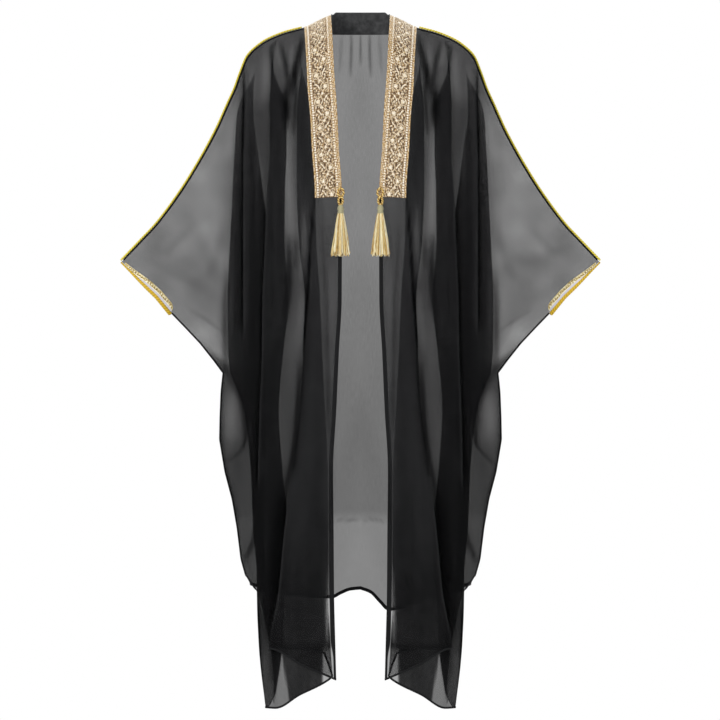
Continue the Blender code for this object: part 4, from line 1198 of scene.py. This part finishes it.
def make_cuff_band(word, side, front, material):
    """Band that follows the cuff's edge on the outside of the sleeve, wider and rounded at its foot."""
    half, root = (front_half, 5) if front else (back_half, 3)
    rows, columns = BAND_GRID
    t = np.linspace(0.012, CUFF_END - 0.006, rows)
    root_line, edge_line = half(np.array([root, root + 1.0]), t).transpose(1, 0, 2)
    sleeve_length = np.linalg.norm(edge_line - root_line, axis=-1)
    width = BAND_WIDTH_TIP + (BAND_WIDTH_FOOT - BAND_WIDTH_TIP) * ease(t / BAND_FULL)
    foot = np.clip((CUFF_END - 0.004 - t) / BAND_ROUND, 0, 1)
    width = width * np.sqrt(1 - (1 - foot) ** 2)
    share = np.linspace(0, 1, columns)
    grid = np.array([
        half(root + 1 - (BAND_INSET + share * size)[::-1] / length, np.array([value]))[0]
        for value, size, length in zip(t, width, sleeve_length)
    ])
    along = lengths_along(grid[:, -1]) / MM
    share, along = np.meshgrid(share[::-1], along)
    silver = SILVER_SHARE * ease((along / along.max() - 0.15) / 0.3)
    height, tone = cuff_band_relief(share, along, silver)
    points, faces, picked = relief_slab(grid, height * MM, BAND_LIFT)
    uv = with_under(np.stack([share * BAND_WIDTH_FOOT, along * MM], axis=-1), picked)
    where = "front" if front else "back"
    add_piece(f"cuff_embroidery_{word}_{where}", placed(points, side, front), faces, material,
              (f"cuff_band_{word}_{where}",), "silver_band", uv,
              {"relief": with_under(height, picked), "tone": with_under(tone, picked)})


# Tassels: rings of threads in the skirt (how many, share of the radius), their sway and how far they start
# inside the head, and the binding of the head
THREAD_RINGS = ((1, 0.0), (7, 0.25), (14, 0.46), (22, 0.66), (30, 0.84), (40, 1.0))
THREAD_RADIUS = 0.00075
THREAD_STEPS = 9
THREAD_SWAY = 0.0018
THREAD_START = HEAD_BOTTOM + 0.003
BINDING_TURNS = 5
HEAD_RIBS = 20
LOOP_POINTS = 64
LOOP_PITCH = 0.0065


def tassel_place(side):
    """Where the tassel hangs: on the trim's foot, just in front of the front panel's edge."""
    carrier = front_half(np.array([0.0]), np.array([TRIM_FOOT]))[0, 0, 1]
    return np.array([side * TASSEL_X, -carrier - TRIM_WALL - 2 * SEAM_GAP, 0])


def hang(points, place):
    """A tassel's points moved to where it hangs: its loops lie flat on the trim, its skirt stands clear."""
    lean = np.interp(points[..., 2], [SKIRT_BOTTOM, HEAD_BOTTOM, HEAD_TOP, LOOP_HEIGHTS[1]],
                     [SKIRT_RADIUS * SKIRT_FLAT, HEAD_RADIUS, HEAD_RADIUS, LOOP_WIRE])
    return points - lean[..., None] * [0, 1, 0] + place


def skirt_threads(seed):
    """Points, faces and tone of the skirt: threads on rings, each a four-sided tube that waves a little."""
    rng = np.random.default_rng(seed)
    fall = np.linspace(0, 1, THREAD_STEPS)
    points, faces, tones, count = [], [], [], 0
    for ring, (number, share) in enumerate(THREAD_RINGS):
        for k in range(number):
            angle = 2 * math.pi * (k + 0.5 * ring) / number + rng.uniform(-0.06, 0.06)
            reach = share * (HEAD_RADIUS - 0.0018 + (SKIRT_RADIUS - HEAD_RADIUS + 0.001) * fall**0.85)
            sway = THREAD_SWAY * np.sin(2 * math.pi * (fall * rng.uniform(0.6, 1.3) + rng.uniform())) * fall
            ragged = 1 - 0.05 * rng.uniform() - 0.06 * math.cos(3 * angle + 0.6) ** 2
            path = np.stack([
                (reach + sway) * math.cos(angle),
                (reach + sway) * math.sin(angle) * (1 - (1 - SKIRT_FLAT) * fall**0.5),
                THREAD_START - (THREAD_START - SKIRT_BOTTOM) * ragged * fall,
            ], axis=-1)
            radius = THREAD_RADIUS * (0.7 + 0.5 * fall)
            corner = np.arange(4) * math.pi / 2
            across = np.cos(corner)[None, :, None] * radius[:, None, None] * np.array([1.0, 0, 0])
            other = np.sin(corner)[None, :, None] * radius[:, None, None] * np.array([0, 1.0, 0])
            ring_points, (quads, caps) = tube_mesh(path, across, other, False)
            points.append(ring_points)
            faces.append((quads + count, caps + count))
            # Tone by lock round the skirt and at random per thread: the threads' own change, and also painted
            # shade between locks and painted highlight on them
            lock = 0.52 + 0.38 * math.cos(6 * angle + 1.7 * ring)
            tones.append(np.full(len(ring_points), np.clip(lock + rng.uniform(-0.45, 0.45), 0, 1)))
            count += len(ring_points)
    quads, caps = (np.concatenate(group) for group in zip(*faces))
    return np.concatenate(points), [quads, caps], np.concatenate(tones)


def turned(profile, segments):
    """Points and faces of a solid turned about Z from (radius, height) rows, first and last on the axis."""
    profile = np.array(profile)
    angle = np.linspace(0, 2 * math.pi, segments, endpoint=False)
    around = np.stack([np.cos(angle), np.sin(angle), 0 * angle], axis=-1)
    centres = profile[1:-1, 1][:, None] * np.array([0, 0, 1.0])
    points, (quads, caps) = tube_mesh(centres, around[None] * profile[1:-1, :1, None], 0, False)
    points[-2:, 2] = profile[[0, -1], 1]
    return points, [quads, caps]


def make_tassel(word, side, thread, wire, binding):
    """Gold tassel: a skirt of threads, a bound head, and two twisted loops at the trim's foot."""
    place = tassel_place(side)
    points, faces, tone = skirt_threads(40 + side)
    add_piece(f"tassel_skirt_{word}", hang(points, place), faces, thread, (f"tassel_{word}",), "gold_thread",
              uv=points[:, [0, 2]], attributes={"tone": tone})
    level = np.linspace(0, 1, 60)
    height = HEAD_TOP + 0.003 + (HEAD_BOTTOM - 0.0035 - HEAD_TOP) * level
    radius = 0.94 * HEAD_RADIUS * np.sqrt(np.clip(1 - (1 - np.minimum(level / 0.55, 1)) ** 2, 0, 1))
    radius = radius * (1 - 0.16 * np.exp(-(((level - 0.74) / 0.10) ** 2)))
    radius = np.maximum(radius + 0.00035 * np.cos(2 * math.pi * level * BINDING_TURNS * 2), 0.0004)
    profile = [(0, height[0])] + list(zip(radius, height)) + [(0, height[-1])]
    head, head_faces = turned(profile, 40)
    around = np.arctan2(head[:, 1], head[:, 0])
    head[:, :2] *= (1 + 0.03 * np.cos(HEAD_RIBS * around))[:, None]
    add_piece(f"tassel_head_{word}", hang(head, place), head_faces, binding, (), "gold_thread",
              uv=np.stack([around * HEAD_RADIUS, head[:, 2]], axis=-1),
              attributes={"relief": 0.5 + 0.4 * np.cos(HEAD_RIBS * around)})
    for number, centre in enumerate(LOOP_HEIGHTS):
        angle = np.linspace(0, 2 * math.pi, LOOP_POINTS, endpoint=False)
        wide = side * LOOP_RADIUS * (0.92 - 0.22 * number)
        tall = LOOP_RADIUS * (1.42 - 0.12 * number)
        depth = LOOP_WIRE * 0.6 * np.sin(2 * angle)
        path = np.stack([wide * np.sin(angle), depth, tall * np.cos(angle)], axis=-1)
        add_cord(f"tassel_loop_{word}_{number + 1}", hang(path + [0, 0, centre], place), LOOP_WIRE * 1.2,
                 np.array([[0, 1.0, 0.02]]), LOOP_PITCH, wire, closed=True, slot="gold_thread")


class Nodes:
    """A material and short ways to add and link its nodes."""

    def __init__(self, name):
        self.material = bpy.data.materials.new(name)
        self.material.use_nodes = True
        self.tree = self.material.node_tree
        self.shader = self.tree.nodes["Principled BSDF"]

    def set(self, **values):
        for key, value in values.items():
            self.shader.inputs[key.replace("_", " ")].default_value = value

    def add(self, kind, **values):
        node = self.tree.nodes.new("ShaderNode" + kind)
        for key, value in values.items():
            setattr(node, key, value)
        return node

    def link(self, output, target):
        self.tree.links.new(output, target)

    def attribute(self, name):
        return self.add("Attribute", attribute_name=name).outputs["Fac"]

    def place(self, kind="Object", scale=(1, 1, 1), turn=0.0):
        """Object or UV coordinates, scaled and turned about Z."""
        mapping = self.add("Mapping")
        mapping.inputs["Scale"].default_value = scale
        mapping.inputs["Rotation"].default_value[2] = turn
        self.link(self.add("TexCoord").outputs[kind], mapping.inputs["Vector"])
        return mapping.outputs["Vector"]

    def noise(self, where, scale, detail=3.0, roughness=0.55):
        node = self.add("TexNoise")
        node.inputs["Scale"].default_value = scale
        node.inputs["Detail"].default_value = detail
        node.inputs["Roughness"].default_value = roughness
        self.link(where, node.inputs["Vector"])
        return node.outputs["Fac"]

    def waves(self, where, scale, direction="X"):
        node = self.add("TexWave", wave_type="BANDS", bands_direction=direction, wave_profile="SIN")
        node.inputs["Scale"].default_value = scale
        self.link(where, node.inputs["Vector"])
        return node.outputs["Fac"]

    def math(self, operation, one, two):
        node = self.add("Math", operation=operation)
        for socket, value in zip(node.inputs, (one, two)):
            if isinstance(value, (int, float)):
                socket.default_value = value
            else:
                self.link(value, socket)
        return node.outputs[0]

    def spread(self, value, low, high):
        """The value, 0 to 1, stretched between low and high."""
        node = self.add("MapRange")
        node.inputs["To Min"].default_value, node.inputs["To Max"].default_value = low, high
        self.link(value, node.inputs["Value"])
        return node.outputs["Result"]

    def ramp(self, value, *stops):
        """Colours at places along the value, from rows of (place, colour)."""
        node = self.add("ValToRGB")
        elements = node.color_ramp.elements
        while len(elements) < len(stops):
            elements.new(0.5)
        for element, (place, colour) in zip(elements, stops):
            element.position, element.color = place, (*colour, 1)
        self.link(value, node.inputs["Fac"])
        return node.outputs["Color"]

    def blend(self, share, one, two, kind="MIX"):
        node = self.add("Mix", data_type="RGBA", blend_type=kind)
        for socket, value in zip((node.inputs[0], node.inputs[6], node.inputs[7]), (share, one, two)):
            if isinstance(value, (int, float)):
                socket.default_value = value
            elif isinstance(value, tuple):
                socket.default_value = (*value, 1)
            else:
                self.link(value, socket)
        return node.outputs[2]

    def colour(self, output):
        self.link(output, self.shader.inputs["Base Color"])

    def bump(self, height, strength, distance):
        node = self.add("Bump")
        node.inputs["Strength"].default_value = strength
        node.inputs["Distance"].default_value = distance
        self.link(height, node.inputs["Height"])
        self.link(node.outputs["Normal"], self.shader.inputs["Normal"])


def chiffon_material():
    """Sheer black cloth: the veil attribute is how much it hides, over a plain weave of uneven threads;
    painted fold shadows and highlights darken and lighten its colour.
    """
    m = Nodes("sheer_black_chiffon")
    m.set(Roughness=0.62, Specular_IOR_Level=0.0)
    where = m.place("UV")
    slub = m.noise(m.place("UV", (9, 1, 1)), 60, 2)
    weave = m.math("MULTIPLY", m.waves(where, 950, "X"), m.waves(where, 950, "Y"))
    # Painted shadows and highlights of the folds shift the base colour, over a random unevenness
    painted_shading_shift = m.math("MULTIPLY", m.attribute("tint"), 0.26)
    uneven = m.math("ADD", painted_shading_shift, m.spread(m.noise(where, 40, 3), 0.31, 0.41))
    m.colour(m.ramp(uneven, (0.10, (0.0008, 0.0008, 0.0009)), (0.36, (0.0098, 0.0098, 0.0102)),
                    (0.62, (0.042, 0.042, 0.043))))
    thread = m.math("MULTIPLY", m.spread(slub, 0.93, 1.07), m.spread(weave, 1.04, 0.96))
    m.link(m.math("MULTIPLY", m.attribute("veil"), thread), m.shader.inputs["Alpha"])
    m.bump(m.math("ADD", weave, slub), 0.25, 0.0001)
    return m.material


def hem_material():
    """Rolled and stitched edge of the same cloth, closed black, with a fine slanting stitch."""
    m = Nodes("black_rolled_hem")
    m.set(Roughness=0.7, Specular_IOR_Level=0.2)
    where = m.place("UV")
    stitch = m.waves(where, 220, "DIAGONAL")
    # Darker where the stitch wave, which also drives the bump, is low: painted shade in the stitch hollows
    m.colour(m.ramp(stitch, (0.2, (0.0025, 0.0025, 0.003)), (0.8, (0.007, 0.007, 0.0075))))
    m.bump(stitch, 0.4, 0.0002)
    return m.material


def band_material():
    """Stiff black neck band: matt, its cloth puckered by a bump, with painted shade in the puckers' hollows
    and painted light on their rises.
    """
    m = Nodes("black_neck_band")
    m.set(Roughness=0.85, Specular_IOR_Level=0.15)
    where = m.place()
    mottle = m.noise(where, 70, 5, 0.6)
    # Same mottle as the bump: painted shade in its hollows, painted light on its rises
    m.colour(m.ramp(mottle, (0.30, (0.034, 0.034, 0.035)), (0.52, (0.062, 0.062, 0.063)),
                    (0.75, (0.10, 0.10, 0.101))))
    m.bump(m.math("ADD", mottle, m.noise(where, 900, 2)), 0.5, 0.0006)
    return m.material


def gold_material():
    """Metal thread embroidery, coloured by relief height: brown ground with painted shade in the gaps, gold
    on the stitches and a painted highlight of near white on the highest ones.
    """
    m = Nodes("gold_embroidery_thread")
    m.set(Metallic=0.12)
    where = m.place("UV")
    relief, tone = m.attribute("relief"), m.attribute("tone")
    fine = m.waves(m.place("UV", turn=0.7), 420, "X")
    # Colour by relief height: the low end is the brown ground darkened by painted shade, the high end a
    # painted highlight, near white on the bright tone
    deep = m.ramp(relief, (0.06, (0.035, 0.012, 0.003)), (0.22, (0.24, 0.105, 0.018)),
                  (0.50, (0.64, 0.385, 0.085)), (0.90, (0.93, 0.70, 0.27)))
    bright = m.ramp(relief, (0.06, (0.08, 0.035, 0.009)), (0.22, (0.46, 0.33, 0.16)),
                    (0.46, (0.93, 0.83, 0.65)), (0.80, (1.0, 1.0, 0.98)))
    gold = m.blend(m.ramp(tone, (0.36, (0, 0, 0)), (0.62, (1, 1, 1))), deep, bright)
    m.colour(m.blend(m.spread(m.noise(where, 300, 2), 0.0, 0.25), gold, (0.85, 0.60, 0.22), "MULTIPLY"))
    m.link(m.spread(tone, 0.5, 0.28), m.shader.inputs["Roughness"])
    m.bump(m.math("ADD", fine, m.noise(where, 700, 2)), 0.5, 0.0002)
    return m.material


def cord_material(name, groove, side, top):
    """Gold cord: painted shade in the grooves between its strands, painted highlight on their tops, and
    finely ribbed.
    """
    m = Nodes(name)
    m.set(Roughness=0.45, Metallic=0.15)
    # Colour by the strands' swell: the groove colour is painted shade, the top colour a painted highlight
    m.colour(m.ramp(m.attribute("relief"), (0.05, groove), (0.5, side), (0.95, top)))
    m.bump(m.waves(m.place("UV", turn=0.6), 500, "X"), 0.4, 0.0002)
    return m.material


def cuff_band_material():
    """Cuff band: cream and gold motifs on brown, and a plain silver strip where the tone is above 1, with
    painted shade in its rib hollows.
    """
    m = Nodes("silver_and_gold_band")
    m.set(Roughness=0.4, Metallic=0.25)
    relief, tone = m.attribute("relief"), m.attribute("tone")
    gold = m.ramp(tone, (0.36, (0.14, 0.075, 0.015)), (0.60, (0.66, 0.50, 0.16)), (0.86, (1.0, 0.95, 0.70)))
    # Silver darker where the ribs are low: painted shade in the hollows
    silver = m.ramp(relief, (0.2, (0.50, 0.48, 0.52)), (0.5, (0.78, 0.76, 0.82)))
    m.colour(m.blend(m.math("GREATER_THAN", tone, 1.2), gold, silver))
    m.bump(m.noise(m.place("UV"), 600, 2), 0.4, 0.0002)
    return m.material


def thread_material():
    """Silky pale gold thread of the tassels: each thread has its own tone, streaked along its length; the
    dark brown and near white ends of the range are painted shade between the locks and painted highlights on
    them.
    """
    m = Nodes("silky_gold_thread")
    m.set(Roughness=0.42, Metallic=0.05)
    streak = m.noise(m.place("UV", (800, 120, 1)), 1, 2)
    tone = m.math("ADD", m.math("MULTIPLY", m.attribute("tone"), 0.55), m.math("MULTIPLY", streak, 0.60))
    m.colour(m.ramp(tone, (0.16, (0.20, 0.08, 0.012)), (0.36, (0.60, 0.38, 0.11)), (0.58, (0.88, 0.72, 0.35)),
                    (0.86, (1.0, 0.95, 0.72))))
    m.bump(streak, 0.5, 0.0002)
    return m.material


def floor_material():
    m = Nodes("pale_floor")
    m.set(Roughness=0.9, Base_Color=(0.86, 0.86, 0.86, 1))
    return m.material


def make_stage():
    """Pale floor below the hem, white studio round it, soft lights, and a long camera square to the front."""
    angle = np.linspace(0, 2 * math.pi, FLOOR_POINTS, endpoint=False)
    level = np.full(FLOOR_POINTS, FLOOR_HEIGHT)
    ring = np.stack([FLOOR_RADIUS * np.cos(angle), FLOOR_RADIUS * np.sin(angle), level], axis=-1)
    mesh = bpy.data.meshes.new("floor")
    mesh.from_pydata(ring.tolist(), [], [list(range(FLOOR_POINTS))])
    floor = bpy.data.objects.new("floor", mesh)
    bpy.context.scene.collection.objects.link(floor)
    mesh.materials.append(floor_material())

    world = bpy.data.worlds.new("white_studio")
    world.use_nodes = True
    nodes, links = world.node_tree.nodes, world.node_tree.links
    nodes.clear()
    seen, light = nodes.new("ShaderNodeBackground"), nodes.new("ShaderNodeBackground")
    seen.inputs["Strength"].default_value = 1.0
    seen.inputs["Color"].default_value = (1, 1, 1, 1)
    light.inputs["Color"].default_value = (0.96, 0.98, 1, 1)
    light.inputs["Strength"].default_value = 0.55
    mix, path = nodes.new("ShaderNodeMixShader"), nodes.new("ShaderNodeLightPath")
    out = nodes.new("ShaderNodeOutputWorld")
    links.new(path.outputs["Is Camera Ray"], mix.inputs["Fac"])
    links.new(light.outputs["Background"], mix.inputs[1])
    links.new(seen.outputs["Background"], mix.inputs[2])
    links.new(mix.outputs["Shader"], out.inputs["Surface"])
    bpy.context.scene.world = world

    for name, place, power, size in (
        ("key_light", (-2.4, -3.6, 1.2), 95, 1.6),
        ("fill_light", (3.0, -3.2, -0.4), 40, 2.4),
        ("top_light", (0.3, 1.5, 2.6), 45, 1.8),
    ):
        data = bpy.data.lights.new(name, "AREA")
        data.energy, data.size = power, size
        lamp = bpy.data.objects.new(name, data)
        lamp.location = place
        x, y, z = np.array([0, 0, VIEW_HEIGHT]) - np.array(place)
        lamp.rotation_euler = (math.atan2(math.hypot(x, y), -z), 0, math.atan2(-x, y))
        bpy.context.scene.collection.objects.link(lamp)

    data = bpy.data.cameras.new("camera")
    data.sensor_width = SENSOR
    data.lens = SENSOR * (CAMERA_DISTANCE - BODY_FRONT) / (PIXEL * IMAGE_SIDE)
    data.clip_start, data.clip_end = 1.0, 100.0
    camera = bpy.data.objects.new("camera", data)
    camera.location = (-0.5 * PIXEL, -CAMERA_DISTANCE, VIEW_HEIGHT)
    camera.rotation_euler = (math.pi / 2, 0, 0)
    bpy.context.scene.collection.objects.link(camera)
    bpy.context.scene.camera = camera
    bpy.context.scene.view_settings.view_transform = "Standard"
    bpy.context.scene.cycles.transparent_max_bounces = CLEAR_BOUNCES


def main():
    make_stage()
    chiffon, black, gold, band, thread = (
        chiffon_material(), hem_material(), gold_material(), cuff_band_material(), thread_material())
    # Cord colours for groove, side and top: painted shade in the grooves and painted highlight on the tops
    yellow = cord_material("yellow_gold_cord", (0.55, 0.38, 0.01), (0.80, 0.64, 0.03), (0.92, 0.82, 0.14))
    ochre = cord_material("ochre_gold_cord", (0.42, 0.24, 0.004), (0.66, 0.41, 0.008), (0.80, 0.55, 0.03))
    wire = cord_material("twisted_gold_wire", (0.10, 0.035, 0.004), (0.55, 0.29, 0.025), (1.0, 0.80, 0.34))
    binding = cord_material("silver_gold_binding", (0.16, 0.14, 0.06), (0.44, 0.40, 0.22), (0.78, 0.74, 0.52))
    back, back_area = make_back(chiffon)
    make_back_hem(black)
    make_neck_band(band_material())
    for word, side in (("left", 1), ("right", -1)):
        front, front_area = make_front(word, side, chiffon)
        make_front_hem(word, side, black)
        make_border(word, side, black)
        make_seams(word, side, black)
        make_trim(word, side, gold)
        make_shoulder_cord(word, side, yellow)
        make_cuff_cord(word, side, ochre)
        make_cuff_band(word, side, True, band)
        make_cuff_band(word, side, False, band)
        make_tassel(word, side, thread, wire, binding)


main()
